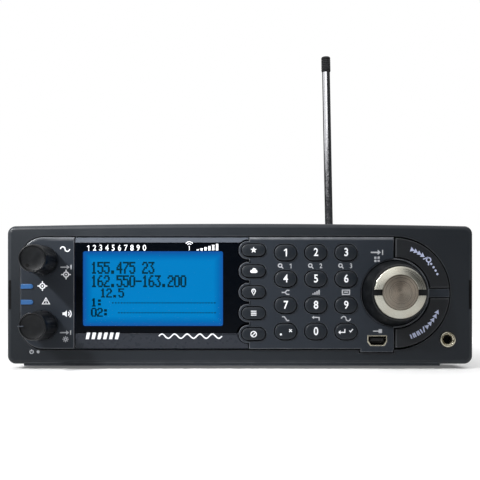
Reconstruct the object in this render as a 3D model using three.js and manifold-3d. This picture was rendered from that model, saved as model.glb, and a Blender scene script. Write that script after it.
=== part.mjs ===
// A mobile scanning radio receiver in a car-radio sized case: a moulded front panel with keys, knobs and a
// display, a sheet metal case, a rear panel of connectors, and a telescopic antenna on a bayonet plug.
// Millimetres. +X is to the right as a user faces the front panel, +Y is into the radio and +Z is up.
// The origin is on the desk, below the middle of the radio's whole length, knobs and antenna included.

import * as THREE from 'three';
import { mergeVertices } from 'three/addons/utils/BufferGeometryUtils.js';
import Module from 'manifold-3d';

const wasm = await Module();
wasm.setup();

// ---------------------------------------------------------------- driving dimensions

// Front panel. Depths in the front group are measured from the bezel's face, negative towards the user.
const PANEL_HALF_WIDTH = 92;
const PANEL_BOTTOM = 1.75;
const PANEL_TOP = 56.3;
const PANEL_CROWN = 0.95; // how far the middle of the top edge stands above its ends
const PANEL_CORNER = 3.2;
const BEZEL_DEPTH = 21;
const BEZEL_WALL = 2.2;
const LIP = { left: -85.4, right: 79, bottom: 1, depth: 12 };
const MID_Z = 29.75; // height of the control area's middle

// Control area: a long outline with two rounded corners on the left and a half circle on the right.
const AREA_HALF_HEIGHT = 21.9;
const AREA_LEFT = -86.3;
const AREA_CORNER = 9;
const DIAL_X = 60.7;
const AREA_GAP = 0.4; // between the bezel's opening and what fills it
const PAD_FRONT = -1.2; // the raised surfaces around the knobs and keys
const PLATE_FRONT = 0.6;
const PLATE_BACK = 3;
const FLANGE = { front: 2.5, back: 3.7, grow: 1.5 };
const WINDOW = { left: -64.7, right: 3.3, front: -1.1, back: 0.3, split: -65.1 };
const DISPLAY = { x: -34.3, z: 31.5, width: 55.2, height: 29.4 };

// Keys
const KEY_MID_Z = MID_Z + 0.35;
const KEY_FRONT = -2.2;
const KEY_GAP = 0.35;
const KEY_TRAVEL = 0.8;
const KEY_RIM = { front: 3.3, back: 4.1, grow: 0.9 };
const NUMBER_KEY = { width: 8.6, height: 6.2, x: 29.75, pitchX: 11.85, pitchZ: 10.32 };
const NUMBER_KEY_NAMES = [
  ['key_1', 'key_2', 'key_3'],
  ['key_4', 'key_5', 'key_6'],
  ['key_7', 'key_8', 'key_9'],
  ['key_dot', 'key_0', 'key_enter'],
];
const FUNCTION_KEY = { width: 9.3, height: 4.7, x: 5.35, pitchZ: 8.24, bump: 3.6 };
const FUNCTION_KEY_NAMES = ['key_priority', 'key_weather', 'key_location', 'key_menu', 'key_lockout'];
const ARC_KEY = { inner: 14.05, outer: 21.5, side: 0.35, divider: 1.7, gap: 0.35, front: -1.9 };

// Knobs and their controls
const KNOB_X = -77.2;
const KNOB_OFFSET_Z = 12.65;
const KNOB_FRONT = -17.6;
const KNOB_BACK = -2.2;
const KNOB_RADIUS = { base: 5.9, front: 5.1 };
const DIAL_FRONT = -13;
const DIAL_BACK = -0.4;
const DIAL_RADIUS = { base: 12.6, front: 10.2, cap: 9.95, face: 6.8 };
const DIAL_WELL = { radius: 13, floor: 0.9 };
const SHAFT_RADIUS = 3;
const SHAFT_BACK = 5.6;
const SHAFT_HOLE = 3.5;
const CONTROL_BODY = { front: 4, back: 8, bore: 3.35, boreDepth: 3.3 };

// Small front parts
const PIPES = { left: -86.1, length: 4.9, height: 1.9, front: -1.5, back: 7.9, upper: 2.6, lower: -3.6 };
const USB = { x: 53.9, z: 11.05, width: 7.7, height: 4.2, tabLeft: 47.4, tabRight: 60.3, tabBottom: 6.5 };
const PHONES = { x: 81.85, z: 11.45, neck: 2.45, ring: 3.15, bore: 1.8 };
const RELEASE_SLOT = { x: 90.8, width: 1.1, height: 11.4, z: 29.1 };

// Boards
const BOARD = { front: 8.3, thickness: 1.6, halfWidth: 87, bottom: 7, top: 52.4 };
const MAT = { front: 7, back: 8, left: -1, right: 83, bottom: 8.6, top: 51.4 };
const LCD = { front: 3.4, back: 8, halfWidth: 31.5, halfHeight: 17.6 };

// Case
const RADIO_DEPTH = 146; // from the bezel's face to the rear edges of the case
const SHEET = 1;
const CASE_FRONT = 12;
const TRAY = { half: 88, bottom: 4.4, top: 52.3 };
const COVER = { half: 89.3, top: 53.8, skirtBottom: 16 };
const REAR_PANEL = { half: 86.6, bottom: 5.8, top: 52.3, thickness: 2, inset: 0.6 };
const MAIN_BOARD = { half: 82, front: 20, back: 140, bottom: 12, thickness: 1.6 };
const SPEAKER = { x: -34, y: 84, radius: 33, top: 52.3, depth: 15 };
const BRACKET_HOLES = { radius: 2, z: 29.5, front: 58, back: 98 };
const FOOT = { radius: 5.5, height: 4.1, x: 76, front: 32, back: 134 };

// Rear connectors: x, then height, measured on the rear panel
const ANTENNA_JACK = { x: 56, z: 30 };
const AUDIO_JACKS = { recordX: 36, speakerX: 23, z: 21, neck: 2.9, ring: 4.1, bore: 1.8 };
const SERIAL = {
  x: -14,
  z: 24,
  flangeWidth: 31,
  flangeHeight: 12.5,
  shellWidth: 17,
  shellHeight: 8.4,
  pinPitch: 2.77,
};
const POWER_JACK = { x: -54, z: 22, neck: 4.9, ring: 6.2, bore: 3.1, pin: 1 };

// Antenna, measured from the jack's axis at the rear panel
const ANTENNA_LEAN = THREE.MathUtils.degToRad(1.1); // to the left, going up
const ELBOW_Y = 25.8;
const ELBOW_RADIUS = 4.6;
const MAST_TOP = 148.7;
const TIP_HEIGHT = 9;
const TUBES = [
  { name: 'antenna_tube_outer', outer: 2.4, inner: 2.05, bottom: 11 },
  { name: 'antenna_tube_middle', outer: 1.85, inner: 1.5, bottom: 13 },
  { name: 'antenna_tube_inner', outer: 1.3, inner: 0.98, bottom: 14 },
];
const TIP = { rod: 0.75, rodBottom: 15, cap: 2.85 };

// The radio reaches from the knobs' faces to the antenna's elbow.
// The origin is below the middle of that length.
const FRONT_REACH = -KNOB_FRONT;
const REAR_REACH = RADIO_DEPTH + ELBOW_Y + ELBOW_RADIUS;
const FACE_Y = (FRONT_REACH - REAR_REACH) / 2;
const REAR_Y = FACE_Y + RADIO_DEPTH;

// ---------------------------------------------------------------- materials

const plastic = (color, roughness) => new THREE.MeshStandardMaterial({ color, roughness, metalness: 0 });
const metal = (color, roughness) => new THREE.MeshStandardMaterial({ color, roughness, metalness: 1 });

const MATERIALS = {
  bezel: plastic(0x33363b, 0.55),
  panel: plastic(0x393c42, 0.5),
  key: plastic(0x26282b, 0.45),
  knob: plastic(0x1b1c1f, 0.5),
  lens: new THREE.MeshStandardMaterial({
    color: 0x10131a,
    roughness: 0.05,
    transparent: true,
    opacity: 0.4,
  }),
  screen: plastic(0x0080c0, 0.3),
  lightPipe: plastic(0x4a86cc, 0.2),
  turnedMetal: metal(0xa8a297, 0.3),
  chrome: metal(0xd8dade, 0.1),
  nickel: metal(0xb9b6ac, 0.25),
  paintedSteel: plastic(0x1f2124, 0.6),
  circuitBoard: plastic(0x1d5a35, 0.5),
  silicone: plastic(0x8c8f93, 0.7),
  blackPlastic: plastic(0x17181a, 0.5),
  tinPlate: metal(0xb4b8bc, 0.35),
  rubber: plastic(0x151515, 0.85),
};

// ---------------------------------------------------------------- solids

// A closed geometry as a manifold solid, for joining and cutting.
function solid(geometry) {
  const bare = new THREE.BufferGeometry();
  const flat = geometry.index ? geometry.toNonIndexed() : geometry;
  bare.setAttribute('position', flat.getAttribute('position'));
  const merged = mergeVertices(bare, 1e-4);
  const mesh = new wasm.Mesh({
    numProp: 3,
    vertProperties: new Float32Array(merged.attributes.position.array),
    triVerts: new Uint32Array(merged.index.array),
  });
  return new wasm.Manifold(mesh);
}

// A manifold solid as a named three.js mesh.
function part(name, shape, material) {
  const mesh = shape.getMesh();
  const geometry = new THREE.BufferGeometry();
  geometry.setAttribute('position', new THREE.BufferAttribute(mesh.vertProperties, 3));
  geometry.setIndex(new THREE.BufferAttribute(mesh.triVerts, 1));
  geometry.computeVertexNormals();
  const made = new THREE.Mesh(geometry, material);
  made.name = name;
  return made;
}

const join = (first, ...others) => others.reduce((whole, next) => whole.add(next), first);
const cut = (first, ...others) => others.reduce((whole, next) => whole.subtract(next), first);

function box(x0, x1, y0, y1, z0, z1) {
  const geometry = new THREE.BoxGeometry(x1 - x0, y1 - y0, z1 - z0);
  geometry.translate((x0 + x1) / 2, (y0 + y1) / 2, (z0 + z1) / 2);
  return solid(geometry);
}

// An outline drawn in X and Z, pushed along Y from y0 to y1.
function plateY(outline, y0, y1, curveSegments = 8) {
  const options = { depth: y1 - y0, bevelEnabled: false, curveSegments };
  const geometry = new THREE.ExtrudeGeometry(outline, options);
  geometry.rotateX(Math.PI / 2);
  geometry.translate(0, y1, 0);
  return solid(geometry);
}

// A profile of [radius, height] points turned about the Y axis, listed in either direction.
function turned(profile, segments) {
  const points = profile.map(([radius, height]) => new THREE.Vector2(radius, height));
  if (THREE.ShapeUtils.isClockWise(points)) {
    points.reverse();
  }
  return new THREE.LatheGeometry(points, segments);
}

// A profile of [radius, y] points, turned about an axis along Y through x and z.
function turnedY(profile, x, z, segments = 20) {
  const geometry = turned(profile, segments);
  geometry.translate(x, 0, z);
  return solid(geometry);
}

// A profile of [radius, z] points, turned about an axis along Z through x and y.
function turnedZ(profile, x, y, segments = 20) {
  const geometry = turned(profile, segments);
  geometry.rotateX(Math.PI / 2);
  geometry.translate(x, y, 0);
  return solid(geometry);
}

function rodY(radius, y0, y1, x, z, segments = 20) {
  const geometry = new THREE.CylinderGeometry(radius, radius, y1 - y0, segments);
  geometry.translate(x, (y0 + y1) / 2, z);
  return solid(geometry);
}

function rodX(radius, x0, x1, y, z, segments = 20) {
  const geometry = new THREE.CylinderGeometry(radius, radius, x1 - x0, segments);
  geometry.rotateZ(Math.PI / 2);
  geometry.translate((x0 + x1) / 2, y, z);
  return solid(geometry);
}

// ---------------------------------------------------------------- outlines

// The control area's outline, grown outwards by a distance.
function areaOutline(grow) {
  const shape = new THREE.Shape();
  const half = AREA_HALF_HEIGHT + grow;
  const cornerX = AREA_LEFT + AREA_CORNER;
  const cornerOffset = AREA_HALF_HEIGHT - AREA_CORNER;
  const corner = AREA_CORNER + grow;
  shape.absarc(DIAL_X, MID_Z, half, -Math.PI / 2, Math.PI / 2, false);
  shape.absarc(cornerX, MID_Z + cornerOffset, corner, Math.PI / 2, Math.PI, false);
  shape.absarc(cornerX, MID_Z - cornerOffset, corner, Math.PI, (3 * Math.PI) / 2, false);
  shape.closePath();
  return shape;
}

// A rounded bar: straight sides and half-circle ends.
function barOutline(x, z, width, height) {
  const shape = new THREE.Shape();
  const radius = height / 2;
  const reach = width / 2 - radius;
  shape.absarc(x + reach, z, radius, -Math.PI / 2, Math.PI / 2, false);
  shape.absarc(x - reach, z, radius, Math.PI / 2, (3 * Math.PI) / 2, false);
  shape.closePath();
  return shape;
}

// The bezel's outline: rounded corners and a top edge that rises in a gentle arc to the middle.
function bezelOutline(inset) {
  const half = PANEL_HALF_WIDTH - inset;
  const bottom = PANEL_BOTTOM + inset;
  const top = PANEL_TOP - inset;
  const r = Math.max(PANEL_CORNER - inset, 0.8);
  const shape = new THREE.Shape();
  shape.absarc(half - r, bottom + r, r, -Math.PI / 2, 0, false);
  shape.absarc(half - r, top - r, r, 0, Math.PI / 2, false);
  shape.quadraticCurveTo(0, top + 2 * PANEL_CROWN, -half + r, top);
  shape.absarc(-half + r, top - r, r, Math.PI / 2, Math.PI, false);
  shape.absarc(-half + r, bottom + r, r, Math.PI, (3 * Math.PI) / 2, false);
  shape.closePath();
  return shape;
}

// One of the two curved keys beside the dial, grown outwards.
// It lies above the divider (side 1) or below it (side -1).
function arcKeyOutline(side, grow) {
  const inner = ARC_KEY.inner - grow;
  const outer = ARC_KEY.outer + grow;
  const edgeX = ARC_KEY.side - grow;
  const edgeZ = ARC_KEY.divider + ARC_KEY.gap - grow;
  const shape = new THREE.Shape();
  const outerEnds = [Math.asin(edgeZ / outer), Math.acos(edgeX / outer)];
  const innerEnds = [Math.asin(edgeZ / inner), Math.acos(edgeX / inner)];
  shape.absarc(DIAL_X, MID_Z, outer, side * outerEnds[0], side * outerEnds[1], side < 0);
  shape.absarc(DIAL_X, MID_Z, inner, side * innerEnds[1], side * innerEnds[0], side > 0);
  shape.closePath();
  return shape;
}

// A mini-B socket's outline: a bar whose lower corners are drawn in.
function usbOutline(grow) {
  const half = USB.width / 2 + grow;
  const low = USB.z - USB.height / 2 - grow;
  const high = USB.z + USB.height / 2 + grow;
  const step = 1.1;
  return new THREE.Shape([
    new THREE.Vector2(USB.x - half + step, low),
    new THREE.Vector2(USB.x + half - step, low),
    new THREE.Vector2(USB.x + half, low + 1.6),
    new THREE.Vector2(USB.x + half, high),
    new THREE.Vector2(USB.x - half, high),
    new THREE.Vector2(USB.x - half, low + 1.6),
  ]);
}

// A D-shaped connector's outline, wider at the top.
function serialOutline(width, height) {
  const slope = 1.4;
  return new THREE.Shape([
    new THREE.Vector2(SERIAL.x - width / 2 + slope, SERIAL.z - height / 2),
    new THREE.Vector2(SERIAL.x + width / 2 - slope, SERIAL.z - height / 2),
    new THREE.Vector2(SERIAL.x + width / 2, SERIAL.z + height / 2),
    new THREE.Vector2(SERIAL.x - width / 2, SERIAL.z + height / 2),
  ]);
}

// ---------------------------------------------------------------- places of the keys

const numberKeys = NUMBER_KEY_NAMES.flatMap((names, row) =>
  names.map((name, column) => ({
    name,
    x: NUMBER_KEY.x + (column - 1) * NUMBER_KEY.pitchX,
    z: KEY_MID_Z + (1.5 - row) * NUMBER_KEY.pitchZ,
    width: NUMBER_KEY.width,
    height: NUMBER_KEY.height,
  })),
);

const functionKeys = FUNCTION_KEY_NAMES.map((name, row) => ({
  name,
  x: FUNCTION_KEY.x,
  z: KEY_MID_Z + (2 - row) * FUNCTION_KEY.pitchZ,
  width: FUNCTION_KEY.width,
  height: FUNCTION_KEY.height,
}));

const barKeys = [...numberKeys, ...functionKeys];
const bumpX = FUNCTION_KEY.x - (FUNCTION_KEY.width - FUNCTION_KEY.height) / 2;
const KEY_SEGMENTS = 4;

// ---------------------------------------------------------------- front panel

function frontBezel() {
  const shell = cut(
    plateY(bezelOutline(0), 0, BEZEL_DEPTH, 6),
    plateY(bezelOutline(BEZEL_WALL), BEZEL_WALL, BEZEL_DEPTH + 1, 6),
  );
  const lip = box(LIP.left, LIP.right, 0.3, LIP.depth, LIP.bottom, PANEL_BOTTOM + 0.5);
  const opening = plateY(areaOutline(AREA_GAP), -1, BEZEL_WALL + 0.1, 12);
  const usbNotch = box(
    USB.tabLeft - AREA_GAP,
    USB.tabRight + AREA_GAP,
    -1,
    BEZEL_WALL + 0.1,
    USB.tabBottom - AREA_GAP,
    MID_Z,
  );
  const phonesHole = rodY(PHONES.neck + 0.3, -1, BEZEL_WALL + 1, PHONES.x, PHONES.z, 16);
  const releaseSlots = [-1, 1].map((side) => {
    const x = side * RELEASE_SLOT.x;
    const half = RELEASE_SLOT.height / 2;
    const reach = RELEASE_SLOT.width / 2;
    return box(x - reach, x + reach, -1, BEZEL_DEPTH + 1, RELEASE_SLOT.z - half, RELEASE_SLOT.z + half);
  });
  const body = cut(join(shell, lip), opening, usbNotch, phonesHole, ...releaseSlots);
  return part('front_bezel', body, MATERIALS.bezel);
}

function controlPanel() {
  const plate = plateY(areaOutline(0), PLATE_FRONT, PLATE_BACK, 12);
  const flange = cut(
    plateY(areaOutline(FLANGE.grow), FLANGE.front, FLANGE.back, 12),
    plateY(areaOutline(-1), PLATE_BACK, FLANGE.back + 1, 12),
  );
  const raised = plateY(areaOutline(0), PAD_FRONT, PLATE_FRONT + 0.1, 12);
  const windowBed = box(WINDOW.split, WINDOW.right + 0.35, PAD_FRONT - 1, PLATE_FRONT, 0, 60);
  const dialSide = box(DIAL_X, DIAL_X + 30, PAD_FRONT - 1, PLATE_FRONT, 0, 60);
  const keyBumps = functionKeys.map((key) =>
    rodY(FUNCTION_KEY.bump, PAD_FRONT, PLATE_FRONT + 0.1, bumpX, key.z, 24),
  );
  const divider = box(
    DIAL_X + DIAL_WELL.radius - 1,
    DIAL_X + AREA_HALF_HEIGHT - 0.3,
    PAD_FRONT,
    PLATE_FRONT + 0.1,
    MID_Z - ARC_KEY.divider,
    MID_Z + ARC_KEY.divider,
  );
  const wellWall = rodY(ARC_KEY.inner - ARC_KEY.gap, PAD_FRONT, PLATE_FRONT + 0.1, DIAL_X, MID_Z, 40);
  const usbTab = box(USB.tabLeft, USB.tabRight, PAD_FRONT, PLATE_BACK, USB.tabBottom, MID_Z - 15);

  const well = rodY(DIAL_WELL.radius, PAD_FRONT - 1, DIAL_WELL.floor, DIAL_X, MID_Z, 40);
  const shaftHoles = [
    rodY(SHAFT_HOLE, -2, 5, DIAL_X, MID_Z, 16),
    rodY(SHAFT_HOLE, -2, 5, KNOB_X, MID_Z + KNOB_OFFSET_Z, 16),
    rodY(SHAFT_HOLE, -2, 5, KNOB_X, MID_Z - KNOB_OFFSET_Z, 16),
  ];
  const keyHoles = barKeys.map((key) =>
    plateY(
      barOutline(key.x, key.z, key.width + 2 * KEY_GAP, key.height + 2 * KEY_GAP),
      -2,
      5,
      KEY_SEGMENTS,
    ),
  );
  const arcHoles = [1, -1].map((side) => plateY(arcKeyOutline(side, ARC_KEY.gap), -2, 5, 10));
  const displayHole = box(
    DISPLAY.x - DISPLAY.width / 2,
    DISPLAY.x + DISPLAY.width / 2,
    -2,
    5,
    DISPLAY.z - DISPLAY.height / 2,
    DISPLAY.z + DISPLAY.height / 2,
  );
  const pipeHoles = [PIPES.upper, PIPES.lower].map((offset) => {
    const z = MID_Z + offset;
    const half = PIPES.height / 2 + 0.25;
    return box(PIPES.left - 1, PIPES.left + PIPES.length + 0.25, -2, 5, z - half, z + half);
  });
  const usbHole = plateY(usbOutline(0.3), -2, 5);

  const body = join(
    join(plate, flange, usbTab),
    join(cut(raised, windowBed, dialSide), ...keyBumps),
    divider,
    wellWall,
  );
  const holes = [well, ...shaftHoles, ...keyHoles, ...arcHoles, displayHole, ...pipeHoles, usbHole];
  return part('control_panel', cut(body, ...holes), MATERIALS.panel);
}

function displayWindow() {
  const sheet = plateY(areaOutline(-0.05), WINDOW.front, WINDOW.back, 12);
  const leftOf = box(-100, WINDOW.left, -5, 5, 0, 60);
  const rightOf = box(WINDOW.right, 100, -5, 5, 0, 60);
  const scallops = functionKeys.map((key) => rodY(FUNCTION_KEY.bump + 0.3, -5, 5, bumpX, key.z, 24));
  return part('display_window', cut(sheet, leftOf, rightOf, ...scallops), MATERIALS.lens);
}

// A key: a cap that passes through the panel, and a wider rim behind it that keeps the key in.
function barKey({ name, x, z, width, height }) {
  const cap = plateY(barOutline(x, z, width, height), KEY_FRONT, KEY_RIM.back, KEY_SEGMENTS);
  const rim = plateY(
    barOutline(x, z, width + 2 * KEY_RIM.grow, height + 2 * KEY_RIM.grow),
    KEY_RIM.front,
    KEY_RIM.back,
    KEY_SEGMENTS,
  );
  return part(name, join(cap, rim), MATERIALS.key);
}

function arcKey(name, side) {
  const rimFront = FLANGE.back + 0.3;
  const rimBack = rimFront + 0.8;
  const cap = plateY(arcKeyOutline(side, 0), ARC_KEY.front, rimBack, 10);
  const rim = plateY(arcKeyOutline(side, 0.9), rimFront, rimBack, 10);
  return part(name, join(cap, rim), MATERIALS.key);
}

function lightPipe(name, offset) {
  const z = MID_Z + offset;
  const half = PIPES.height / 2;
  const right = PIPES.left + PIPES.length;
  const bar = box(PIPES.left, right - half, PIPES.front, PIPES.back, z - half, z + half);
  const roundEnd = rodY(half, PIPES.front, PIPES.back, right - half, z, 12);
  return part(name, join(bar, roundEnd), MATERIALS.lightPipe);
}

// ---------------------------------------------------------------- knobs and controls

function knob(name, offsetZ) {
  const boreEnd = KNOB_FRONT + 4.6;
  const boreRadius = SHAFT_RADIUS + 0.3;
  const profile = [
    [0, boreEnd],
    [boreRadius, boreEnd],
    [boreRadius, KNOB_BACK],
    [KNOB_RADIUS.base, KNOB_BACK],
    [KNOB_RADIUS.base, KNOB_BACK - 2],
    [KNOB_RADIUS.front + 0.3, KNOB_FRONT + 1],
    [KNOB_RADIUS.front - 0.4, KNOB_FRONT],
    [0, KNOB_FRONT],
  ];
  return part(name, turnedY(profile, KNOB_X, MID_Z + offsetZ, 24), MATERIALS.knob);
}

function dialKnob() {
  const boreEnd = DIAL_FRONT + 3.4;
  const boreRadius = SHAFT_RADIUS + 0.3;
  const bodyFront = DIAL_FRONT + 1.8;
  const profile = [
    [0, boreEnd],
    [boreRadius, boreEnd],
    [boreRadius, DIAL_BACK],
    [DIAL_RADIUS.base, DIAL_BACK],
    [DIAL_RADIUS.base, DIAL_BACK - 2.2],
    [DIAL_RADIUS.front + 0.4, bodyFront + 0.6],
    [DIAL_RADIUS.front, bodyFront],
    [0, bodyFront],
  ];
  return part('dial_knob', turnedY(profile, DIAL_X, MID_Z, 32), MATERIALS.knob);
}

// The turned metal face of the dial: a flat disc, a sloping ring and two notches for a fingertip.
function dialCap() {
  const back = DIAL_FRONT + 1.5;
  const profile = [
    [0, DIAL_FRONT + 0.25],
    [DIAL_RADIUS.face - 0.2, DIAL_FRONT + 0.25],
    [DIAL_RADIUS.face, DIAL_FRONT],
    [DIAL_RADIUS.cap - 0.3, DIAL_FRONT + 0.5],
    [DIAL_RADIUS.cap, DIAL_FRONT + 0.8],
    [DIAL_RADIUS.cap, back],
    [0, back],
  ];
  const notchHalf = 1.05;
  const notches = [-1, 1].map((side) => {
    const inner = DIAL_X + side * DIAL_RADIUS.face;
    const outer = DIAL_X + side * (DIAL_RADIUS.cap + 1);
    const ends = [Math.min(inner, outer), Math.max(inner, outer)];
    return box(...ends, DIAL_FRONT - 1, DIAL_FRONT + 0.9, MID_Z - notchHalf, MID_Z + notchHalf);
  });
  return part('dial_cap', cut(turnedY(profile, DIAL_X, MID_Z, 32), ...notches), MATERIALS.turnedMetal);
}

// The part of a control that a push moves: a round shaft, free to slide in the control's body.
function controlShaft(name, x, z, front) {
  return part(name, rodY(SHAFT_RADIUS, front, SHAFT_BACK, x, z, 16), MATERIALS.tinPlate);
}

function controlBody(name, x, z, halfWidth, halfHeight) {
  const { front, back, bore, boreDepth } = CONTROL_BODY;
  const can = box(x - halfWidth, x + halfWidth, front, back, z - halfHeight, z + halfHeight);
  return part(name, cut(can, rodY(bore, front - 1, front + boreDepth, x, z, 16)), MATERIALS.tinPlate);
}

// ---------------------------------------------------------------- front sockets, display and boards

function usbPort() {
  const front = PAD_FRONT - 0.1;
  const cavityDepth = 6;
  const cavityBack = front + cavityDepth;
  const tongue = box(USB.x - 2.5, USB.x + 2.5, front + 1, cavityBack + 0.5, USB.z + 0.1, USB.z + 0.9);
  const shell = plateY(usbOutline(0), front, BOARD.front - 0.4);
  const cavity = plateY(usbOutline(-0.4), -5, cavityBack);
  return part('usb_port', join(cut(shell, cavity), tongue), MATERIALS.nickel);
}

function headphoneJack() {
  const depth = 14;
  const profile = [
    [PHONES.bore, -0.9],
    [PHONES.bore, depth - 2],
    [PHONES.neck, depth - 2],
    [PHONES.neck, -0.2],
    [PHONES.ring, -0.2],
    [PHONES.ring, -0.6],
    [PHONES.ring - 0.4, -0.9],
    [PHONES.bore, -0.9],
  ];
  const body = cut(
    box(PHONES.x - 3.8, PHONES.x + 3.8, FLANGE.back + 0.5, depth, PHONES.z - 3.8, PHONES.z + 3.8),
    rodY(PHONES.neck - 0.1, 0, depth - 1, PHONES.x, PHONES.z, 20),
  );
  return part('headphone_jack', join(turnedY(profile, PHONES.x, PHONES.z, 20), body), MATERIALS.nickel);
}

function displayModule() {
  const { x, z } = DISPLAY;
  const { halfWidth, halfHeight } = LCD;
  const body = box(x - halfWidth, x + halfWidth, LCD.front, LCD.back, z - halfHeight, z + halfHeight);
  return part('display_module', body, MATERIALS.screen);
}

// The silicone mat behind the keys, with a post for each one.
function keypadMat() {
  const sheet = box(MAT.left, MAT.right, MAT.front, MAT.back, MAT.bottom, MAT.top);
  const postFront = KEY_RIM.back + KEY_TRAVEL + 0.3;
  const posts = barKeys.map((key) =>
    box(key.x - 2, key.x + 2, postFront, MAT.front + 0.1, key.z - 1.5, key.z + 1.5),
  );
  const arcMiddle = (ARC_KEY.inner + ARC_KEY.outer) / 2 / Math.SQRT2;
  const arcPostFront = FLANGE.back + 0.3 + 0.8 + KEY_TRAVEL + 0.3;
  const arcPosts = [1, -1].map((side) =>
    rodY(2, arcPostFront, MAT.front + 0.1, DIAL_X + arcMiddle, MID_Z + side * arcMiddle, 10),
  );
  const encoderHole = box(DIAL_X - 8, DIAL_X + 8, 0, 9, MID_Z - 8, MID_Z + 8);
  const usbNotch = box(USB.x - 5, USB.x + 5, 0, 9, 0, USB.z + 3.4);
  const phonesNotch = box(PHONES.x - 5, MAT.right + 1, 0, 9, 0, PHONES.z + 5);
  const mat = cut(join(sheet, ...posts, ...arcPosts), encoderHole, usbNotch, phonesNotch);
  return part('keypad_mat', mat, MATERIALS.silicone);
}

function controlBoard() {
  const back = BOARD.front + BOARD.thickness;
  const sheet = box(-BOARD.halfWidth, BOARD.halfWidth, BOARD.front, back, BOARD.bottom, BOARD.top);
  const phonesNotch = box(PHONES.x - 5, BOARD.halfWidth + 1, 0, 12, 0, PHONES.z + 5);
  return part('control_board', cut(sheet, phonesNotch), MATERIALS.circuitBoard);
}

// ---------------------------------------------------------------- case

// The holes on each side that take the mounting bracket's screws.
function bracketHoles(radius) {
  const { front, back, z } = BRACKET_HOLES;
  return [front, back].map((y) => rodX(radius, -95, 95, y, z, 12));
}

function bottomTray() {
  const floor = box(-TRAY.half, TRAY.half, CASE_FRONT, RADIO_DEPTH, TRAY.bottom, TRAY.bottom + SHEET);
  const walls = [-1, 1].map((side) => {
    const x = side * (TRAY.half - SHEET / 2);
    return box(x - SHEET / 2, x + SHEET / 2, CASE_FRONT, RADIO_DEPTH, TRAY.bottom, TRAY.top);
  });
  const postRadius = 3;
  const postProfile = [
    [0, TRAY.bottom + 0.2],
    [postRadius, TRAY.bottom + 0.2],
    [postRadius, MAIN_BOARD.bottom - 0.3],
    [0, MAIN_BOARD.bottom - 0.3],
  ];
  const posts = [-1, 1].flatMap((side) =>
    [MAIN_BOARD.front + 6, MAIN_BOARD.back - 6].map((y) => turnedZ(postProfile, side * 74, y, 10)),
  );
  const tray = cut(join(floor, ...walls, ...posts), ...bracketHoles(BRACKET_HOLES.radius));
  return part('bottom_tray', tray, MATERIALS.paintedSteel);
}

// Slots over the speaker, shorter towards the edge of its circle.
function speakerSlots() {
  const slots = [];
  const halfWidth = 1.2;
  for (let offset = -24; offset <= 24; offset += 6) {
    const reach = Math.sqrt(29 * 29 - offset * offset);
    const y = SPEAKER.y + offset;
    slots.push(box(SPEAKER.x - reach, SPEAKER.x + reach, y - halfWidth, y + halfWidth, 50, 60));
  }
  return slots;
}

// Cooling slots: one row across the rear of the top, and one on each side.
function coolingSlots() {
  const slots = [];
  for (let x = 22; x <= 76; x += 6) {
    slots.push(box(x - 1.1, x + 1.1, 96, 128, 50, 60));
  }
  for (let y = 108; y <= 138; y += 6) {
    slots.push(box(-95, 95, y - 1, y + 1, 24, 42));
  }
  return slots;
}

// The cover's front strip is stepped down, so that the bezel closes over it.
function topCover() {
  const top = box(-COVER.half, COVER.half, CASE_FRONT, RADIO_DEPTH, COVER.top - SHEET, COVER.top);
  const stepBack = BEZEL_DEPTH + 0.5;
  const stepFloor = COVER.top - 0.25;
  const skirts = [-1, 1].map((side) => {
    const x = side * (COVER.half - SHEET / 2);
    return box(x - SHEET / 2, x + SHEET / 2, CASE_FRONT, RADIO_DEPTH, COVER.skirtBottom, COVER.top);
  });
  const step = box(-95, 95, CASE_FRONT - 1, stepBack, stepFloor, COVER.top + 1);
  const holes = [step, ...speakerSlots(), ...coolingSlots(), ...bracketHoles(BRACKET_HOLES.radius + 0.3)];
  return part('top_cover', cut(join(top, ...skirts), ...holes), MATERIALS.paintedSteel);
}

function rearPanel() {
  const front = RADIO_DEPTH - REAR_PANEL.inset - REAR_PANEL.thickness;
  const back = RADIO_DEPTH - REAR_PANEL.inset;
  const sheet = box(-REAR_PANEL.half, REAR_PANEL.half, front, back, REAR_PANEL.bottom, REAR_PANEL.top);
  const through = [front - 1, back + 1];
  const holes = [
    rodY(5.1, ...through, ANTENNA_JACK.x, ANTENNA_JACK.z),
    rodY(AUDIO_JACKS.neck + 0.3, ...through, AUDIO_JACKS.recordX, AUDIO_JACKS.z),
    rodY(AUDIO_JACKS.neck + 0.3, ...through, AUDIO_JACKS.speakerX, AUDIO_JACKS.z),
    rodY(POWER_JACK.neck + 0.3, ...through, POWER_JACK.x, POWER_JACK.z),
    plateY(serialOutline(SERIAL.shellWidth + 1.6, SERIAL.shellHeight + 1), ...through),
  ];
  for (let x = -78; x <= -68; x += 5) {
    holes.push(box(x - 1.1, x + 1.1, ...through, 14, 42));
  }
  return part('rear_panel', cut(sheet, ...holes), MATERIALS.paintedSteel);
}

function mainBoard() {
  const { half, front, back, bottom, thickness } = MAIN_BOARD;
  const slab = box(-half, half, front, back, bottom, bottom + thickness);
  return part('main_board', slab, MATERIALS.circuitBoard);
}

function tunerShield() {
  const bottom = MAIN_BOARD.bottom + MAIN_BOARD.thickness + 0.3;
  const can = box(16, 76, 78, 128, bottom, bottom + 9);
  const inside = box(16.6, 75.4, 78.6, 127.4, bottom - 1, bottom + 8.4);
  return part('tuner_shield', cut(can, inside), MATERIALS.tinPlate);
}

function speaker() {
  const { x, y, radius, top, depth } = SPEAKER;
  const profile = [
    [0, top - 8],
    [8, top - 8],
    [radius - 5, top - 1],
    [radius - 5, top],
    [radius, top],
    [radius, top - 1.4],
    [radius - 3, top - 1.6],
    [17, top - 9.5],
    [17, top - depth],
    [0, top - depth],
  ];
  return part('speaker', turnedZ(profile, x, y, 24), MATERIALS.blackPlastic);
}

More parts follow.
